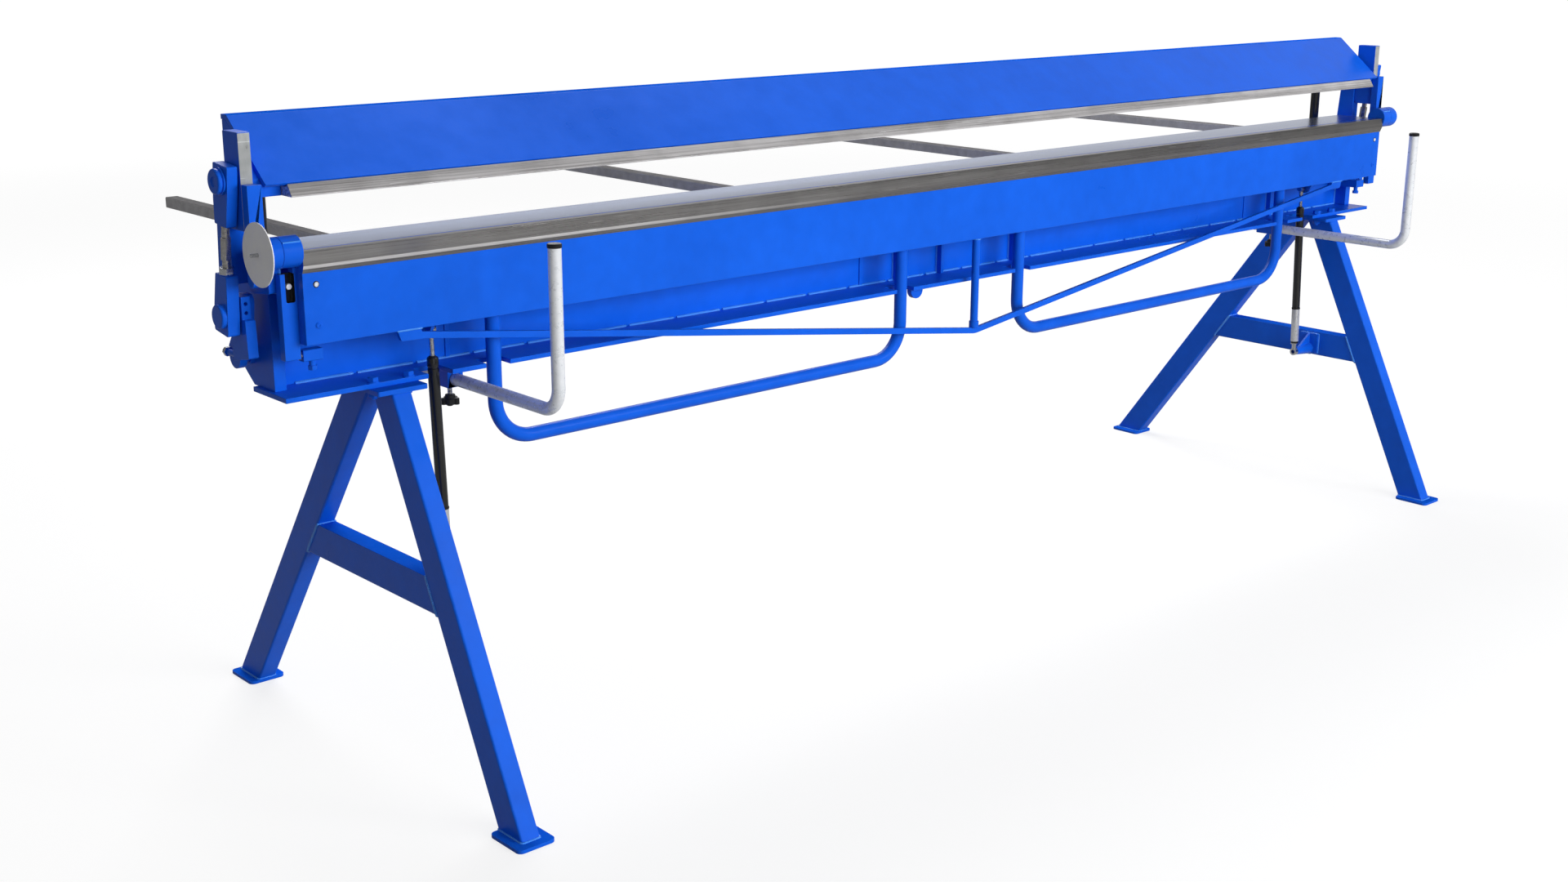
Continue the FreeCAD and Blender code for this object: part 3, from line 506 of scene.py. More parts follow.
# The beads get a lighter, glossier blue than the rest of the enamel: a painted highlight along the welds.
bead_enamel_painted_highlight = enamel("blue_enamel_with_painted_bead_highlight", (0.030, 0.22, 0.80), (0.080, 0.32, 0.92), BLUE_WORN_EDGE_HIGHLIGHT,
                     (0.16, 0.26), coat=0.25, specular=0.5)


def welded(mesh, body, radius=0.0022):
    bead = plain_mesh(mesh, "NODES", weld_bead, **{"Bead Radius": radius, "Material": bead_enamel_painted_highlight})
    return adopt(bead.name, bead, body, "blue_paint")


FOOT_TOP = 0.006
HEAD_UNDER = 0.664
NEAR = 0.001
for part in ("front_legs", "rear_legs"):
    welded(outlines(part + "_foot_welds", part, lambda normal, centre:
                    normal.z < -SQUARE_ON and centre.z < FOOT_TOP + NEAR), "frame")
    welded(outlines(part + "_head_welds", part, lambda normal, centre:
                    normal.z > SQUARE_ON and centre.z > HEAD_UNDER - NEAR), "frame", 0.0018)
welded(outlines("crossbar_welds", "crossbars", lambda normal, centre: abs(normal.y) > 0.8), "frame", 0.0026)


# Stand bolts
# Eight M10 bolts hold the bed on the stands: chamfered hexagon heads on the flange, with washers, and
# nuts under the head plate, all painted over with the rest.
def lifted(tree, shape, height):
    """A shape moved up along its axis."""
    way = put(tree, "ShaderNodeCombineXYZ", {"Z": height})
    return put(tree, "GeometryNodeTransform", {"Geometry": shape, "Translation": way})


def on_points(tree, given, shape):
    """The shape on each point, its Z turned to the point's axis."""
    axis = put(tree, "GeometryNodeInputNamedAttribute", {"Name": "axis"}, data_type="FLOAT_VECTOR")
    turn = put(tree, "FunctionNodeAlignRotationToVector", {"Vector": axis}, axis="Z")
    return put(tree, "GeometryNodeInstanceOnPoints", {
        "Points": given["Geometry"], "Instance": shape, "Rotation": turn})


CROWN_PER_FLATS = 0.47
RIDGE_PER_PITCH = 0.35


def bolt_tree():
    """Hexagon heads on the points of the mesh, each along its "axis", with a chamfer and a washer."""
    tree, given = geometry_tree("hexagon_heads", {
        "Flats": 0.016, "Height": 0.0064, "Washer Radius": 0.010, "Washer Height": 0.0016})
    height = given["Height"]
    lift = given["Washer Height"]
    corner = maths(tree, "DIVIDE", given["Flats"], math.sqrt(3))
    prism = put(tree, "GeometryNodeMeshCylinder", {"Vertices": 6, "Radius": corner, "Depth": height})
    crown = times(tree, given["Flats"], CROWN_PER_FLATS)
    skirt = maths(tree, "ADD", crown, times(tree, height, math.sqrt(3)))
    cone = put(tree, "GeometryNodeMeshCone", {
        "Vertices": 36, "Radius Top": crown, "Radius Bottom": skirt, "Depth": height})
    blank = lifted(tree, prism, maths(tree, "ADD", lift, times(tree, height, 0.5)))
    head = put(tree, "GeometryNodeMeshBoolean", {"Mesh 2": [blank, lifted(tree, cone, lift)]},
               operation="INTERSECT", solver="EXACT")
    washer = put(tree, "GeometryNodeMeshCylinder", {
        "Vertices": 28, "Radius": given["Washer Radius"], "Depth": lift})
    seated = lifted(tree, washer, times(tree, lift, 0.5))
    both = put(tree, "GeometryNodeJoinGeometry", {0: [head, seated]})
    return finish_tree(tree, given, on_points(tree, given, both))


def thread_tree():
    """Threaded studs from the points of the mesh along their "axis": a core with a ridge wound round it."""
    tree, given = geometry_tree("threaded_studs", {"Radius": 0.005, "Length": 0.02, "Pitch": 0.0015})
    length = given["Length"]
    depth = times(tree, given["Pitch"], RIDGE_PER_PITCH)
    crest = maths(tree, "SUBTRACT", given["Radius"], depth)
    turns = maths(tree, "DIVIDE", length, given["Pitch"])
    coil = put(tree, "GeometryNodeCurveSpiral", {
        "Resolution": 20, "Rotations": turns, "Start Radius": crest, "End Radius": crest, "Height": length})
    ridge = put(tree, "GeometryNodeCurvePrimitiveCircle", {"Resolution": 4, "Radius": depth})
    wound = put(tree, "GeometryNodeCurveToMesh", {"Curve": coil, "Profile Curve": ridge, "Fill Caps": True})
    core = put(tree, "GeometryNodeMeshCylinder", {"Vertices": 24, "Radius": crest, "Depth": length})
    middle = lifted(tree, core, times(tree, length, 0.5))
    both = put(tree, "GeometryNodeJoinGeometry", {0: [wound, middle]})
    return finish_tree(tree, given, on_points(tree, given, both))


hexagon_heads = bolt_tree()
threaded_studs = thread_tree()


def set_on(name, places, tree, body, slot, *nodes, **values):
    """Sets a tree's shape on points (place, axis); the names of its inputs have _ for a space."""
    mesh = bpy.data.meshes.new(name)
    mesh.from_pydata([place for place, _ in places], [], [])
    axes = mesh.attributes.new("axis", "FLOAT_VECTOR", "POINT")
    for index, (_, axis) in enumerate(places):
        axes.data[index].vector = axis
    inputs = {label.replace("_", " "): value for label, value in values.items()}
    made = plain_mesh(mesh, "NODES", tree, **inputs)
    return adopt(made.name, made, body, slot, *nodes)


UP = (0, 0, 1)
DOWN = (0, 0, -1)
FRONT = (0, -1, 0)
FLANGE_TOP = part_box("bed_flange")[1].z
BOLT_X = 1.337
BOLT_ASIDE = 0.032
BOLT_ROWS = (-0.228, -0.139)
NUT_DEEP = 0.006
bolt_spots = [(side * BOLT_X + aside * BOLT_ASIDE, y) for side in (-1, 1) for aside in (-1, 1)
              for y in BOLT_ROWS]
set_on("stand_bolt_heads", [((x, y, FLANGE_TOP), UP) for x, y in bolt_spots], hexagon_heads, "frame",
       "blue_paint", "stand_bolts", Height=0.0072, Washer_Height=0.0016, Material=blue_enamel)
set_on("stand_bolt_nuts", [((x, y, HEAD_UNDER), DOWN) for x, y in bolt_spots], hexagon_heads, "frame",
       "blue_paint", Height=0.0066, Washer_Height=0.0014, Material=blue_enamel)
set_on("stand_bolt_ends", [((x, y, HEAD_UNDER - NUT_DEEP), DOWN) for x, y in bolt_spots],
       threaded_studs, "frame", "blue_paint", Radius=0.0049, Length=0.0055, Pitch=0.0015,
       Material=blue_enamel)


# Bed
# The table is a thick plate, ground bright on top and tinted blue there as a painted reflection of the
# beam, on a web with low ribs and a slotted flange. All but the ground face is enamelled, so that a thin
# blue line shows along the table's front edge.
def ground_group():
    """Ground steel: fine streaks along the grinding, slow cloudy stains, and stray scratches."""
    tree, given, out = new_group("ground_streaks", {"Along": 5.0, "Across": 700.0},
                                 ["Streak", "Stain", "Scratch", "Height"])
    grain = put(tree, "ShaderNodeCombineXYZ", {
        "X": given["Along"], "Y": given["Across"], "Z": given["Across"]})
    place = put(tree, "ShaderNodeTexCoord", result="Object")
    drawn = put(tree, "ShaderNodeVectorMath", {0: place, 1: grain}, operation="MULTIPLY")
    streak = noise(tree, drawn, 1.0, 4.0, 0.65)
    wide = noise(tree, stretched(tree, 1.2, 60, 60), 1.0)
    stain = noise(tree, stretched(tree, 1, 1, 1), 9.0, 4.0, 0.6)
    patch = maths(tree, "GREATER_THAN", noise(tree, stretched(tree, 2.0, 9.0, 9.0), 3.0, 1.0), 0.5)
    thin = maths(tree, "GREATER_THAN", noise(tree, stretched(tree, 7, 320, 210), 1.0, 1.0), 0.68)
    fill(tree, out, {"Streak": maths(tree, "ADD", times(tree, streak, 0.6), times(tree, wide, 0.4)),
                     "Stain": stain, "Scratch": times(tree, thin, patch), "Height": streak})
    return tree


ground_streaks = ground_group()


def bare_metal(name, dark, light, rough, bump=0.00003, metallic=1.0, stain=0.35, specular=0.5, **grain):
    """Bare steel between a dark and a light tone, darker still in its stains and bright in scratches."""
    material, tree, ground, shader = new_material(name, ground_streaks, **grain)
    tone = spread(tree, ground["Streak"], 0.0, 1.0, 0.35, 0.65)
    stained = blended(tree, spread(tree, ground["Stain"], 0.0, stain, 0.45, 0.75),
                      blended(tree, tone, dark, light), tuple(0.6 * part for part in dark))
    bright = tuple(min(1.0, 1.35 * part) for part in light)
    fill(tree, shader, {
        "Base Color": blended(tree, times(tree, ground["Scratch"], 0.5), stained, bright),
        "Roughness": spread(tree, ground["Streak"], *rough), "Metallic": metallic,
        "Specular IOR Level": specular, "Normal": bumped(tree, ground["Height"], bump)})
    return material


TABLE_EDGE = 0.0028
# The blue tint of the ground top is a painted reflection of the blue clamping beam above it.
table_steel = bare_metal("ground_table_steel_painted_blue_reflection", (0.27, 0.325, 0.48), (0.34, 0.40, 0.58), (0.20, 0.28),
                         bump=0.000005, stain=0.12, Along=3.0, Across=130.0)
table_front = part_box("table_plate")[0].y + TABLE_EDGE
eased("table_plate", "frame", "table_steel", blue_enamel,
      faces=[(table_steel, lambda normal, centre: normal.z > SQUARE_ON and centre.y > table_front)],
      cuts=[((0, table_front, 0), (0, 1, 0))])
PLATE_TOP = 0.903
PLATE_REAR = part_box("end_plate_left")[1].y
PLATE_WAIST = (0.78, 0.86)
WAIST_REAR = -0.14
WAIST_FILL = 0.044
RIB_DEEP = 0.014
RIB_HALF = 0.01
FLUSH_RIBS = (-1.188, -0.225, 0.129, 1.092)
FLUSH_DEEP = 0.0025


def end_plate_outline(work):
    """The plate ends at the table's height, and runs straight up behind the shaft."""
    cut_off(work, (0, 0, PLATE_TOP), UP)
    for vert in work.verts:
        if PLATE_WAIST[0] < vert.co.z < PLATE_WAIST[1] and vert.co.y > WAIST_REAR:
            vert.co.y = min(vert.co.y + WAIST_FILL, PLATE_REAR)


def is_flush(x):
    return any(abs(x - place) < RIB_HALF for place in FLUSH_RIBS)


def shallow_rib(work):
    """The ribs stand a little proud of the web; the one on the left of each pair is almost flush."""
    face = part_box("bed_web")[0].y
    cut_off(work, (0, face - RIB_DEEP, 0), FRONT)
    for vert in work.verts:
        if is_flush(vert.co.x):
            vert.co.y = max(vert.co.y, face - FLUSH_DEEP)


painted("frame", 0.0008, "bed_web", "bed_flange")
painted("frame", 0.0008, "bed_ribs", reshape=shallow_rib)
painted("frame", 0.0008, "end_plate_left", "end_plate_right", reshape=end_plate_outline)

# Bed welds
# Long beads with short gaps join the web to the flange at the front; finer ones run round the ribs that
# stand proud, and full beads up the end plates.
SIDES = (("left", -1), ("right", 1))
WEB_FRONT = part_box("bed_web")[0].y
BED_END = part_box("bed_web")[1].x
END_WELD_TOP = 0.894
STITCH_FIRST = 0.03
STITCH_LONG = 0.102
STITCH_STEP = 0.11
stitches = []
stitch_start = -BED_END + STITCH_FIRST
while stitch_start + STITCH_LONG < BED_END:
    stitches.append([(x, WEB_FRONT, FLANGE_TOP) for x in (stitch_start, stitch_start + STITCH_LONG)])
    stitch_start += STITCH_STEP
welded(strokes("web_stitches", *stitches), "frame", 0.0034)
welded(outlines("rib_welds", "bed_ribs", lambda normal, centre:
                normal.y > SQUARE_ON and not is_flush(centre.x)), "frame", 0.0016)
for side, sign in SIDES:
    corner = sign * (BED_END - 0.0002)
    upward = [(corner, WEB_FRONT, z) for z in (FLANGE_TOP + 0.002, END_WELD_TOP)]
    welded(strokes("web_end_weld_" + side, upward), "frame", 0.0024)

# Rear rails
# Four square tubes that carry long sheets behind the bed. They are mill-grey, with painted shade that makes
# their top faces darker, have a plastic plug in each rear end, and sit on blue brackets that are welded to
# the web.
rail_grey = bare_metal("rolled_grey_steel", (0.50, 0.49, 0.50), (0.64, 0.63, 0.64), (0.45, 0.60),
                       bump=0.00004, metallic=0.0, specular=0.06, Along=700.0, Across=60.0)
# A much darker grey for the faces of the rails that look up: painted shade on their tops.
rail_top_painted_shade = bare_metal("grey_steel_painted_top_shade", (0.17, 0.166, 0.17), (0.24, 0.235, 0.24), (0.55, 0.70),
                           bump=0.00004, metallic=0.0, specular=0.0, Along=700.0, Across=60.0)
black_plastic = enamel("black_plastic", (0.006, 0.006, 0.006), (0.014, 0.014, 0.014), (0.05, 0.05, 0.05),
                       (0.42, 0.55), specular=0.4, peel=0.00008, dust=0.03)
RAIL_PLACES = (-1.309, -0.420, 0.420, 1.309)
RAIL_WALL = 0.0025
PLUG_DEEP = 0.010
PLUG_SUNK = 0.0006
eased("rear_rails", "frame", "grey_rail", rail_grey, 0.0005,
      [(rail_top_painted_shade, lambda normal, centre: normal.z > 0.7)])
painted("frame", 0.0006, "rail_brackets")
welded(outlines("rail_bracket_welds", "rail_brackets", lambda normal, centre: normal.y < -SQUARE_ON),
       "frame", 0.0018)
rail_low, rail_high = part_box("rear_rails")
plug_wide = 2 * (rail_high.x - RAIL_PLACES[-1] - RAIL_WALL)
plug_tall = rail_high.z - rail_low.z - 2 * RAIL_WALL
plugs = bmesh.new()
for x in RAIL_PLACES:
    middle = (x, rail_high.y - PLUG_SUNK - PLUG_DEEP / 2, (rail_high.z + rail_low.z) / 2)
    made = bmesh.ops.create_cube(plugs, size=1.0)["verts"]
    bmesh.ops.scale(plugs, vec=(plug_wide, PLUG_DEEP, plug_tall), verts=made)
    bmesh.ops.translate(plugs, vec=middle, verts=made)
bmesh.ops.bevel(plugs, geom=plugs.edges[:], offset=0.0012, offset_type="OFFSET", segments=3, profile=0.5,
                affect="EDGES")
adopt("rail_plugs", worked_mesh("rail_plugs", plugs, black_plastic), "frame", "black_plastic")

# Sheet supports
# Galvanised tubes bent to an L, capped with black plastic, that slide in sockets under the flange. A
# moulded star knob on a threaded stud clamps each one.
galvanised = bare_metal("galvanised_tube", (0.78, 0.81, 0.85), (0.90, 0.92, 0.95), (0.24, 0.34),
                        bump=0.00002, metallic=0.25, stain=0.06, Along=90.0, Across=90.0)
zinc_plate = bare_metal("zinc_plate", (0.50, 0.51, 0.52), (0.68, 0.69, 0.71), (0.22, 0.34),
                        bump=0.00001, Along=260.0, Across=260.0)
KNOB_X = 1.1955
KNOB_Y = -0.172
KNOB_BODY = 0.0170
CAP_SKIRT = 0.0071
SOCKET_FRONT = -0.191
SOCKET_LOW = 0.6362


def short_socket(work):
    cut_off(work, (0, SOCKET_FRONT, 0), FRONT)
    cut_off(work, (0, 0, SOCKET_LOW), DOWN)


painted("frame", 0.0006, "support_sockets", reshape=short_socket)
for side, sign in SIDES:
    tube = "support_tube_" + side
    knob = "knob_" + side
    cap_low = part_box(tube)[1].z - CAP_SKIRT
    eased(tube, "support_" + side, "galvanised", galvanised, 0.0004,
          [(black_plastic, lambda normal, centre: centre.z > cap_low)])
    knob_low, knob_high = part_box(knob)
    stud_foot = (sign * KNOB_X, KNOB_Y, knob_low.z + KNOB_BODY)
    eased(knob, knob, "black_plastic", black_plastic, 0.0008,
          reshape=lambda work: cut_off(work, stud_foot, UP))
    set_on("knob_thread_" + side, [(stud_foot, UP)], threaded_studs, knob, "zinc", Radius=0.00425,
           Length=knob_high.z - stud_foot[2] - NEAR, Pitch=0.00125, Material=zinc_plate)

# Hinge posts
# Each end of the bed carries a welded block with the hinge tube, and two uprights that guide the clamping
# beam. Block, tube and uprights are one weldment, in the same enamel.
BLOCK_OUTER = 1.518
for side, sign in SIDES:
    painted("frame", 0.0008, "hinge_post_" + side)
    welded(outlines("hinge_block_welds_" + side, "hinge_post_" + side, lambda normal, centre:
                    normal.x * sign < -SQUARE_ON and abs(centre.x) < BLOCK_OUTER), "frame")

# Beam stops and spring pivots
# Under the ends of the bending plate stand the stops, with rubber buffers and set screws. The pivots of
# the gas springs are turned bosses on the crossbars, braced by a gusset.
rubber = enamel("black_rubber", (0.010, 0.010, 0.010), (0.020, 0.020, 0.020), (0.05, 0.05, 0.05),
                (0.55, 0.70), specular=0.3, peel=0.0001, dust=0.10)
BUFFER_LOW = 0.765
BUFFER_REAR = -0.2243
SET_SCREW_X = 1.4925
PIVOT_INNER = 1.319
painted("frame", 0.0006, "beam_stops", faces=[
    (rubber, lambda normal, centre: centre.z > BUFFER_LOW and centre.y < BUFFER_REAR),
    (zinc_plate, lambda normal, centre: abs(centre.x) > SET_SCREW_X)])
painted("frame", 0.0006, "spring_pivots")
welded(outlines("spring_pivot_welds", "spring_pivots", lambda normal, centre:
                abs(normal.x) > SQUARE_ON and abs(centre.x) > PIVOT_INNER), "frame", 0.0018)

# Clamp shaft
# A steel bar in bushes behind the web. A welded crank at each end pulls the links down when the hand
# lever at the right is lifted; its grip is ribbed rubber.
shaft_steel = bare_metal("turned_shaft_steel", (0.30, 0.30, 0.30), (0.44, 0.44, 0.44), (0.28, 0.40))
SHAFT = (-0.118, 0.728)
BARE_END = 1.523
STOP_SCREW_LONG = 0.014
STOP_SCREW_TOP = 0.7465
eased("shaft_bearings", "frame", "bare_steel", blue_enamel, 0.0005)
eased("clamp_shaft", "clamp_shaft", "bare_steel", shaft_steel, 0.0005,
      [(blue_enamel, lambda normal, centre: abs(centre.x) > BARE_END)],
      [((-BARE_END, 0, 0), (1, 0, 0)), ((BARE_END, 0, 0), (1, 0, 0))])
painted("clamp_shaft", 0.0006, "clamp_lever")
screw_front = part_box("clamp_cranks")[1].y - STOP_SCREW_LONG
painted("clamp_shaft", 0.0006, "clamp_cranks", faces=[
    (zinc_plate, lambda normal, centre: centre.y > screw_front and centre.z < STOP_SCREW_TOP)])
TURN_STEPS = 48
TURN_GAP = 0.000001


def shade(work):
    """Smooth faces that meet in hard edges."""
    for face in work.faces:
        face.smooth = True
    for edge in work.edges:
        edge.smooth = not is_sharp(edge)


def turned(name, start, axis, outline, body, slot, material, *nodes, bands=()):
    """A turned piece: the outline's (distance, radius) pairs spun round the axis from its start.
    Bands are (from, to, material) along the axis."""
    aim = Vector(axis).normalized().to_track_quat("Z", "Y").to_matrix()
    work = bmesh.new()
    rings = []
    for distance, radius in outline:
        circle = []
        for i in range(TURN_STEPS if radius > 0 else 1):
            angle = 2 * math.pi * i / TURN_STEPS
            flat = Vector((radius * math.cos(angle), radius * math.sin(angle), distance))
            circle.append(work.verts.new(Vector(start) + aim @ flat))
        rings.append(circle)
    for index, (low, high) in enumerate(zip(rings, rings[1:])):
        middle = (outline[index][0] + outline[index + 1][0]) / 2
        finish = 0
        for number, (begin, end, _) in enumerate(bands):
            if begin < middle < end:
                finish = number + 1
        for i in range(TURN_STEPS):
            j = (i + 1) % TURN_STEPS
            corners = [low[i % len(low)], low[j % len(low)], high[j % len(high)], high[i % len(high)]]
            work.faces.new(list(dict.fromkeys(corners))).material_index = finish
    bmesh.ops.remove_doubles(work, verts=work.verts, dist=TURN_GAP)
    bmesh.ops.recalc_face_normals(work, faces=work.faces)
    shade(work)
    mesh = worked_mesh(name, work, material, *[other for _, _, other in bands])
    return adopt(name, mesh, body, slot, *nodes)


LEVER_SLOPE = math.radians(6)
LEVER_X = 1.52925
GRIP_PLACE = 0.370
GRIP_LONG = 0.130
GRIP_R = 0.0119
GROOVE_R = 0.0109
GROOVES = 14
GROOVE_STEP = 0.008
grip_axis = Vector((0, math.cos(LEVER_SLOPE), math.sin(LEVER_SLOPE)))
grip_start = Vector((LEVER_X, *SHAFT)) + grip_axis * GRIP_PLACE
grip_outline = [(0.0, 0.0), (0.0, 0.0095), (0.0015, 0.0112), (0.004, GRIP_R)]
for i in range(GROOVES):
    at = (i + 1) * GROOVE_STEP
    grip_outline += [(at, GRIP_R), (at + 0.001, GROOVE_R), (at + 0.003, GROOVE_R), (at + 0.004, GRIP_R)]
grip_outline += [(GRIP_LONG - 0.004, GRIP_R), (GRIP_LONG - 0.0015, 0.0108), (GRIP_LONG, 0.008),
                 (GRIP_LONG, 0.0)]
turned("lever_grip_ribbed", grip_start, grip_axis, grip_outline, "clamp_shaft", "black_plastic", rubber,
       "lever_grip")

# Links
# Blue lugs on the crank and the clamping beam, drawn together by dark threaded rods and a hexagonal
# turnbuckle with a lock nut.
LINK_TOP = Vector((0, -0.184, 1.011))
LINK_LOW = Vector((0, -0.162, 0.8045))
LINK_X = 1.5721
UPPER_ROD = 0.031
LOWER_ROD = 0.0262
LOWER_NUT = 0.0375
link_axis = (LINK_LOW - LINK_TOP).normalized()
dark_steel = bare_metal("phosphated_steel", (0.42, 0.41, 0.40), (0.64, 0.62, 0.60), (0.14, 0.26),
                        bump=0.00002, metallic=0.9, Along=300.0, Across=300.0)
for side, sign in SIDES:
    rod_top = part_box("link_upper_" + side)[0].z + UPPER_ROD
    painted("link_" + side, 0.0008, "link_upper_" + side,
            faces=[(dark_steel, lambda normal, centre: centre.z < rod_top)])
    rod_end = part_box("link_lower_" + side)[1].z
    painted("link_" + side, 0.0008, "link_lower_" + side, faces=[
        (zinc_plate, lambda normal, centre: rod_end - LOWER_NUT < centre.z < rod_end - LOWER_ROD),
        (dark_steel, lambda normal, centre: centre.z > rod_end - LOWER_ROD)])
    eased("turnbuckle_" + side, "turnbuckle_" + side, "zinc", dark_steel, 0.0005)
    line = LINK_TOP + Vector((sign * LINK_X, 0, 0))
    for label, begin, long in (("upper", 0.0685, 0.0170), ("lower", 0.1205, 0.0110)):
        set_on("link_thread_" + label + "_" + side, [(line + link_axis * begin, link_axis)],
               threaded_studs, "link_" + side, "zinc", Radius=0.0063, Length=long, Pitch=0.00175,
               Material=dark_steel)

# Clamping beam
# A ground steel blade under an inclined front plate, on a folded floor with ribs. The plates at its ends
# have bare faces where they run on the uprights.
rubbed_steel = bare_metal("rubbed_guide_steel", (0.44, 0.46, 0.46), (0.70, 0.72, 0.72), (0.24, 0.50),
                          metallic=0.5, stain=0.8, Along=90.0, Across=22.0)
upper_steel = bare_metal("ground_clamping_steel", (0.30, 0.29, 0.29), (0.92, 0.90, 0.91), (0.22, 0.36),
                         metallic=0.5, stain=0.4, Along=2.2, Across=260.0)
# Black enamel for the gas spring cylinders; it also paints shade into the arm slots and round the upper
# plate screws.
black_enamel_and_painted_shade = enamel("black_enamel_and_painted_shade", (0.004, 0.004, 0.004), (0.010, 0.010, 0.010), (0.03, 0.03, 0.03),
                      (0.18, 0.30), coat=0.3, specular=0.5, peel=0.00002)
RIB_FOOT = 1.01
GUIDE_INNER = 1.541
painted("upper_beam", 0.0008, "clamp_front_plate", "clamp_floor", "clamp_ribs",
        faces=[(matt_enamel, lambda normal, centre: normal.z > 0.85)])
painted("upper_beam", 0.0004, "link_pins")
eased("clamp_blade", "upper_beam", "bare_steel", upper_steel, 0.0005)
welded(outlines("clamp_rib_welds", "clamp_ribs", lambda normal, centre:
                normal.z < -SQUARE_ON and centre.z < RIB_FOOT), "upper_beam", 0.0016)
painted("upper_beam", 0.0008, "guide_plate_left", "guide_plate_right", faces=[
    (rubbed_steel, lambda normal, centre: normal.y < -SQUARE_ON and abs(centre.x) > GUIDE_INNER)])
eased("rear_spring_cylinders", "upper_beam", "black_paint", black_enamel_and_painted_shade)
eased("rear_spring_rods", "frame", "zinc", zinc_plate, 0.0004)

# Bending beam
# A ground steel blade on a blue plate, with an arm and a hinge pin at each end. The chamfer under the
# blade's edge has a painted reflection of the floor, bright at the left and duller from there. The disc on
# the left hinge is satin grey.
blade_steel = bare_metal("ground_blade_steel", (0.27, 0.26, 0.255), (0.45, 0.44, 0.435), (0.22, 0.36))
chamfer_reflection_steel = bare_metal("chamfer_steel_painted_floor_reflection", (0.56, 0.545, 0.54), (0.86, 0.84, 0.83), (0.26, 0.40),
                          metallic=0.5)
CHAMFER_MIDDLE = 0.8812
CHAMFER_DULL = (0.17, 0.163, 0.16)
CHAMFER_REFLECTION_FADE = (-1.0, -0.3)
ARM_SLOT = ((1.5022, 1.5188), (-0.2472, -0.2375), (0.8285, 0.8738))
BLOCK_ENDS = (1.5305, 1.5020)
BLOCK_EDGE = (-0.2725, 0.9243)
DISC_THICK = 0.0019
painted("bending_beam", 0.0008, "bending_plate")
# The chamfer's bright tone fades to the right: a painted reflection of the floor, strongest at the left.
chamfer_tree = chamfer_reflection_steel.node_tree
chamfer_shader = chamfer_tree.nodes["Principled BSDF"]
chamfer_x = put(chamfer_tree, "ShaderNodeSeparateXYZ", {0: stretched(chamfer_tree, 1, 1, 1)}, "X")
chamfer_reflection = chamfer_shader.inputs["Base Color"].links[0].from_socket
chamfer_reflection_colour = blended(chamfer_tree, spread(chamfer_tree, chamfer_x, 0.0, 1.0, *CHAMFER_REFLECTION_FADE),
                         chamfer_reflection, CHAMFER_DULL)
fill(chamfer_tree, chamfer_shader, {"Base Color": chamfer_reflection_colour})


def on_chamfer(normal, centre):
    """On the sloping face under the blade's edge, which carries the painted floor reflection."""
    return -0.8 < normal.z < -0.2 and abs(normal.x) < 0.5 and centre.z > CHAMFER_MIDDLE


def in_arm_slot(normal, centre):
    """In the slot of either arm, whose faces are painted black as shade in the recess."""
    place = (abs(centre.x), centre.y, centre.z)
    return all(low < at < high for at, (low, high) in zip(place, ARM_SLOT))


eased("bending_blade", "bending_beam", "bare_steel", blade_steel, 0.0004,
      [(blue_enamel, lambda normal, centre: abs(normal.x) > SQUARE_ON), (chamfer_reflection_steel, on_chamfer)],
      [((0, 0, CHAMFER_MIDDLE), UP)])
# The faces inside each arm's slot are black enamel: painted shade in the recess.
painted("bending_beam", 0.0006, "hinge_arm_left", "hinge_arm_right", faces=[(black_enamel_and_painted_shade, in_arm_slot)])
hinge_beads = [[(sign * x, *BLOCK_EDGE) for x in BLOCK_ENDS] for _, sign in SIDES]
welded(strokes("hinge_block_beads", *hinge_beads), "bending_beam", 0.0017)
disc_grey = bare_metal("satin_grey_disc", (0.94, 0.94, 1.0), (1.0, 1.0, 1.0), (0.36, 0.46),
                       bump=0.00001, metallic=0.0, stain=0.1, Along=500.0, Across=500.0)
disc_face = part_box("angle_disc")[1].x - DISC_THICK
eased("angle_disc", "bending_beam", "grey_disc", disc_grey, 0.0002,
      [(zinc_plate, lambda normal, centre: centre.x < disc_face)])

# Plate screws
# Two button-head screws at each end of the bending plate, the upper one bare in a black ring of painted
# shade and the lower one painted over, and a set screw with a small hexagon in the slot of each arm.
SCREW_X = 1.478
UPPER_SCREW = 0.856
LOWER_SCREW = 0.793
ARM_SCREW = (1.5105, -0.238, 0.853)
RIM_SHARE = 0.45
CROWN_SHARE = 0.56
CROWN_MIDDLE = 0.44
CROWN_TAPER = 0.72


def button_tree():
    """Button heads on the points of the mesh, each along its "axis": a rounded disc with a socket."""
    tree, given = geometry_tree("button_heads", {"Radius": 0.005, "Height": 0.002, "Socket": 0.0032})
    radius = given["Radius"]
    height = given["Height"]
    rim = put(tree, "GeometryNodeMeshCylinder", {
        "Vertices": 32, "Radius": radius, "Depth": times(tree, height, RIM_SHARE)})
    crown = put(tree, "GeometryNodeMeshCone", {
        "Vertices": 32, "Radius Bottom": radius, "Radius Top": times(tree, radius, CROWN_TAPER),
        "Depth": times(tree, height, CROWN_SHARE)})
    parts = [lifted(tree, rim, times(tree, height, RIM_SHARE / 2)),
             lifted(tree, crown, times(tree, height, CROWN_MIDDLE))]
    whole = put(tree, "GeometryNodeMeshBoolean", {"Mesh 2": parts}, operation="UNION", solver="EXACT")
    corner = maths(tree, "DIVIDE", given["Socket"], math.sqrt(3))
    socket = put(tree, "GeometryNodeMeshCylinder", {"Vertices": 6, "Radius": corner, "Depth": height})
    cut = put(tree, "GeometryNodeMeshBoolean", {"Mesh 1": whole, "Mesh 2": lifted(tree, socket, height)},
              operation="DIFFERENCE", solver="EXACT")
    return finish_tree(tree, given, on_points(tree, given, cut))


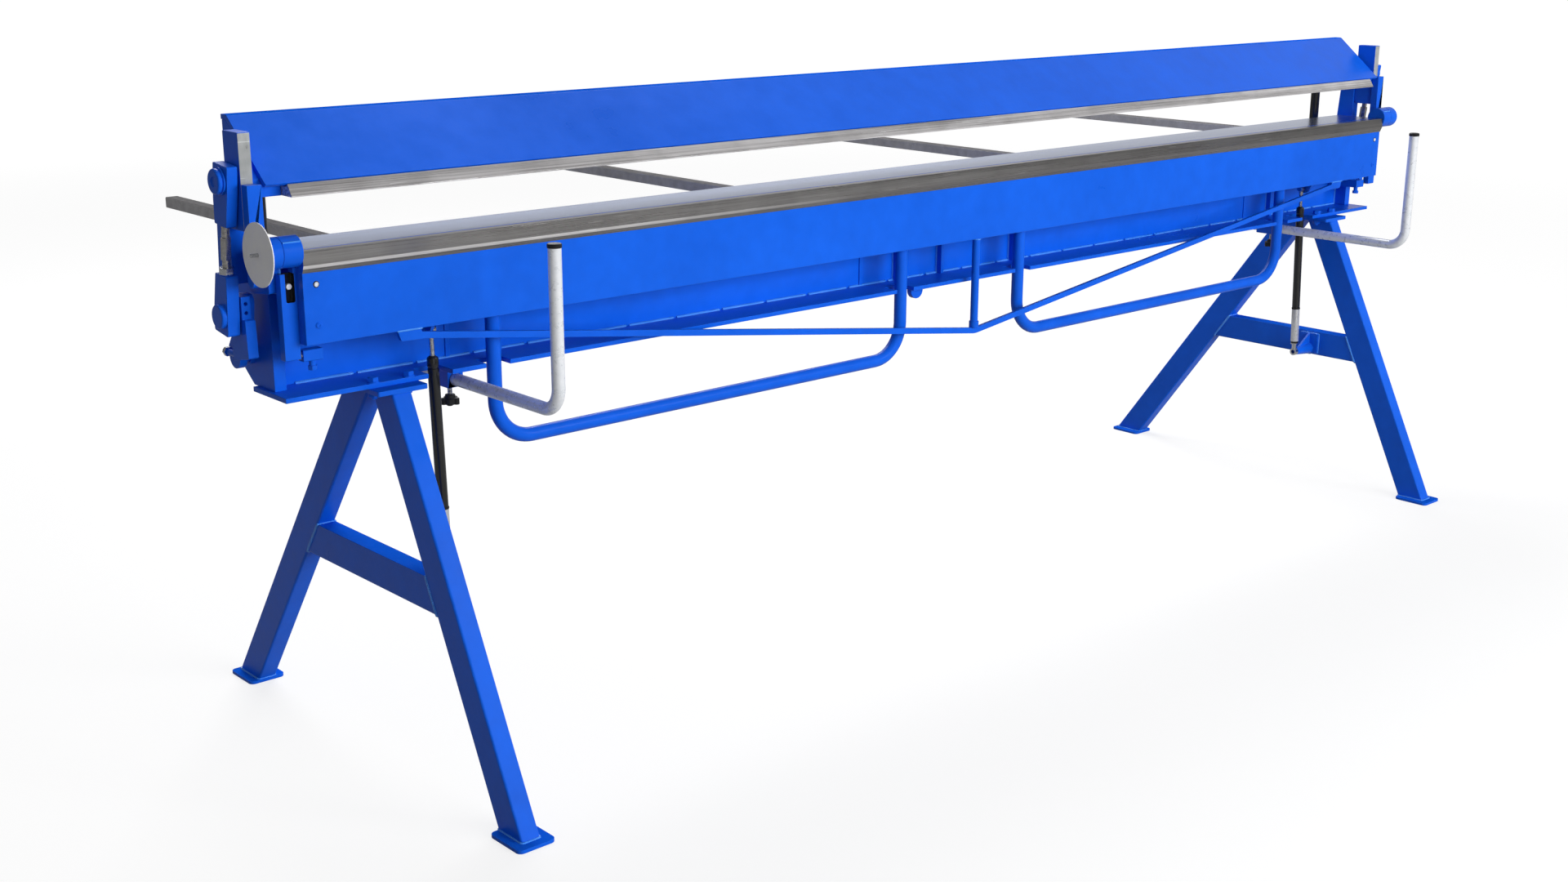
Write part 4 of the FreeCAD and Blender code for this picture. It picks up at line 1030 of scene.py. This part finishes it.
button_heads = button_tree()
plate_low, plate_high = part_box("bending_plate")


def screw_places(z):
    return [((sign * SCREW_X, plate_low.y, z), FRONT) for _, sign in SIDES]


# A thin black disc under each upper screw: painted shade round its head.
set_on("plate_screw_painted_shade_rings", screw_places(UPPER_SCREW), button_heads, "bending_beam", "zinc",
       Radius=0.0052, Height=0.0006, Socket=0.0030, Material=black_enamel_and_painted_shade)
set_on("plate_screws_upper", screw_places(UPPER_SCREW), button_heads, "bending_beam", "zinc",
       "beam_screws", Radius=0.0038, Height=0.0019, Socket=0.0036, Material=galvanised)
set_on("plate_screws_lower", screw_places(LOWER_SCREW), button_heads, "bending_beam", "zinc",
       Radius=0.0050, Height=0.0019, Socket=0.0036, Material=blue_enamel)
arm_screws = [((sign * ARM_SCREW[0], *ARM_SCREW[1:]), FRONT) for _, sign in SIDES]
set_on("arm_set_screws", arm_screws, hexagon_heads, "bending_beam", "zinc", Flats=0.0085, Height=0.0055,
       Washer_Radius=0.0030, Washer_Height=0.0014, Material=galvanised)

# Hand bars and truss
# Two bent tubes hang from the bending plate for the operator's hands, welded to brackets behind it. A tie
# bar with a strut at its middle keeps the plate straight.
STRUT_WELD_R = 0.0082
STRUT_WELD_STEPS = 24
STRUT_WELD_SUNK = 0.0006
painted("bending_beam", 0.0006, "bending_bar_left", "bending_bar_right", "bar_brackets", "truss_tie",
        "truss_strut", "spring_lugs")
for part in ("bar_brackets", "spring_lugs"):
    welded(outlines(part + "_welds", part, lambda normal, centre:
                    normal.y < -SQUARE_ON and centre.y < plate_high.y + NEAR), "bending_beam", 0.0018)
welded(outlines("truss_tie_welds", "truss_tie", lambda normal, centre:
                normal.z > SQUARE_ON and centre.z > plate_low.z - NEAR), "bending_beam", 0.0018)
strut_y = sum(corner.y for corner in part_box("truss_strut")) / 2
strut_turns = [2 * math.pi * i / STRUT_WELD_STEPS for i in range(STRUT_WELD_STEPS + 1)]
strut_ring = [(STRUT_WELD_R * math.cos(turn), strut_y + STRUT_WELD_R * math.sin(turn),
               plate_low.z - STRUT_WELD_SUNK) for turn in strut_turns]
welded(strokes("strut_weld", strut_ring), "bending_beam", 0.0014)

# Gas springs
# Black enamelled cylinders with bright rods, between the crossbars and the bending beam. A bare aluminium
# band and a rubber ring mark the foot of each, and a crimp and a wiper its mouth.
SPRING_FOOT = Vector((0, -0.228, 0.335))
SPRING_HEAD = Vector((0, -0.212, 0.747))
SPRING_X = 1.251
SPRING_R = 0.0095
BAND_R = SPRING_R + 0.0002
CRIMP_R = SPRING_R - 0.0007
BORE_R = 0.0080
ROD_SHOWN = 0.046
EYE_LONG = 0.0222
spring_span = (SPRING_HEAD - SPRING_FOOT).length
spring_axis = (SPRING_HEAD - SPRING_FOOT).normalized()
mouth = spring_span - ROD_SHOWN
band_foil = bare_metal("aluminium_band", (0.62, 0.63, 0.65), (0.76, 0.77, 0.79), (0.26, 0.36),
                       bump=0.00001, metallic=0.6, Along=500.0, Across=120.0)
barrel_outline = [(0.0215, 0.0060), (0.0215, BORE_R), (0.0230, 0.0092), (0.0250, SPRING_R),
                  (0.0268, SPRING_R), (0.0272, BAND_R), (0.1090, BAND_R), (0.1094, SPRING_R),
                  (0.1180, SPRING_R), (mouth - 0.0200, SPRING_R), (mouth - 0.0190, CRIMP_R),
                  (mouth - 0.0165, CRIMP_R), (mouth - 0.0155, SPRING_R), (mouth - 0.0030, SPRING_R),
                  (mouth - 0.0008, SPRING_R - 0.0010), (mouth - 0.0002, SPRING_R - 0.0026),
                  (mouth - 0.0002, 0.0062), (mouth + 0.0012, 0.0056), (mouth + 0.0012, 0.0043),
                  (mouth - 0.0020, 0.0043), (mouth - 0.0020, BORE_R), (0.0235, BORE_R), (0.0235, 0.0060),
                  (0.0215, 0.0060)]
ring_outline = [(0.1092, SPRING_R - 0.001), (0.1092, SPRING_R + 0.0004), (0.1100, SPRING_R + 0.0009),
                (0.1125, SPRING_R + 0.0009), (0.1133, SPRING_R + 0.0004), (0.1133, SPRING_R - 0.001),
                (0.1092, SPRING_R - 0.001)]
for side, sign in SIDES:
    foot = SPRING_FOOT + Vector((sign * SPRING_X, 0, 0))
    cylinder = "spring_cylinder_" + side
    eased("spring_rod_" + side, "spring_rod_" + side, "zinc", zinc_plate, 0.0003)
    turned("spring_barrel_" + side, foot, spring_axis, barrel_outline, cylinder, "black_paint",
           black_enamel_and_painted_shade, bands=[(0.0270, 0.1092, band_foil), (mouth - 0.0003, mouth + 0.002, rubber)])
    turned("spring_ring_" + side, foot, spring_axis, ring_outline, cylinder, "black_plastic", rubber)
    eye = solid_of(cylinder)
    bmesh.ops.remove_doubles(eye, verts=eye.verts, dist=WELD_GAP)
    cut_off(eye, foot + spring_axis * EYE_LONG, spring_axis)
    shade(eye)
    adopt("spring_eye_" + side, worked_mesh("spring_eye_" + side, eye, zinc_plate), cylinder, "zinc",
          cylinder)
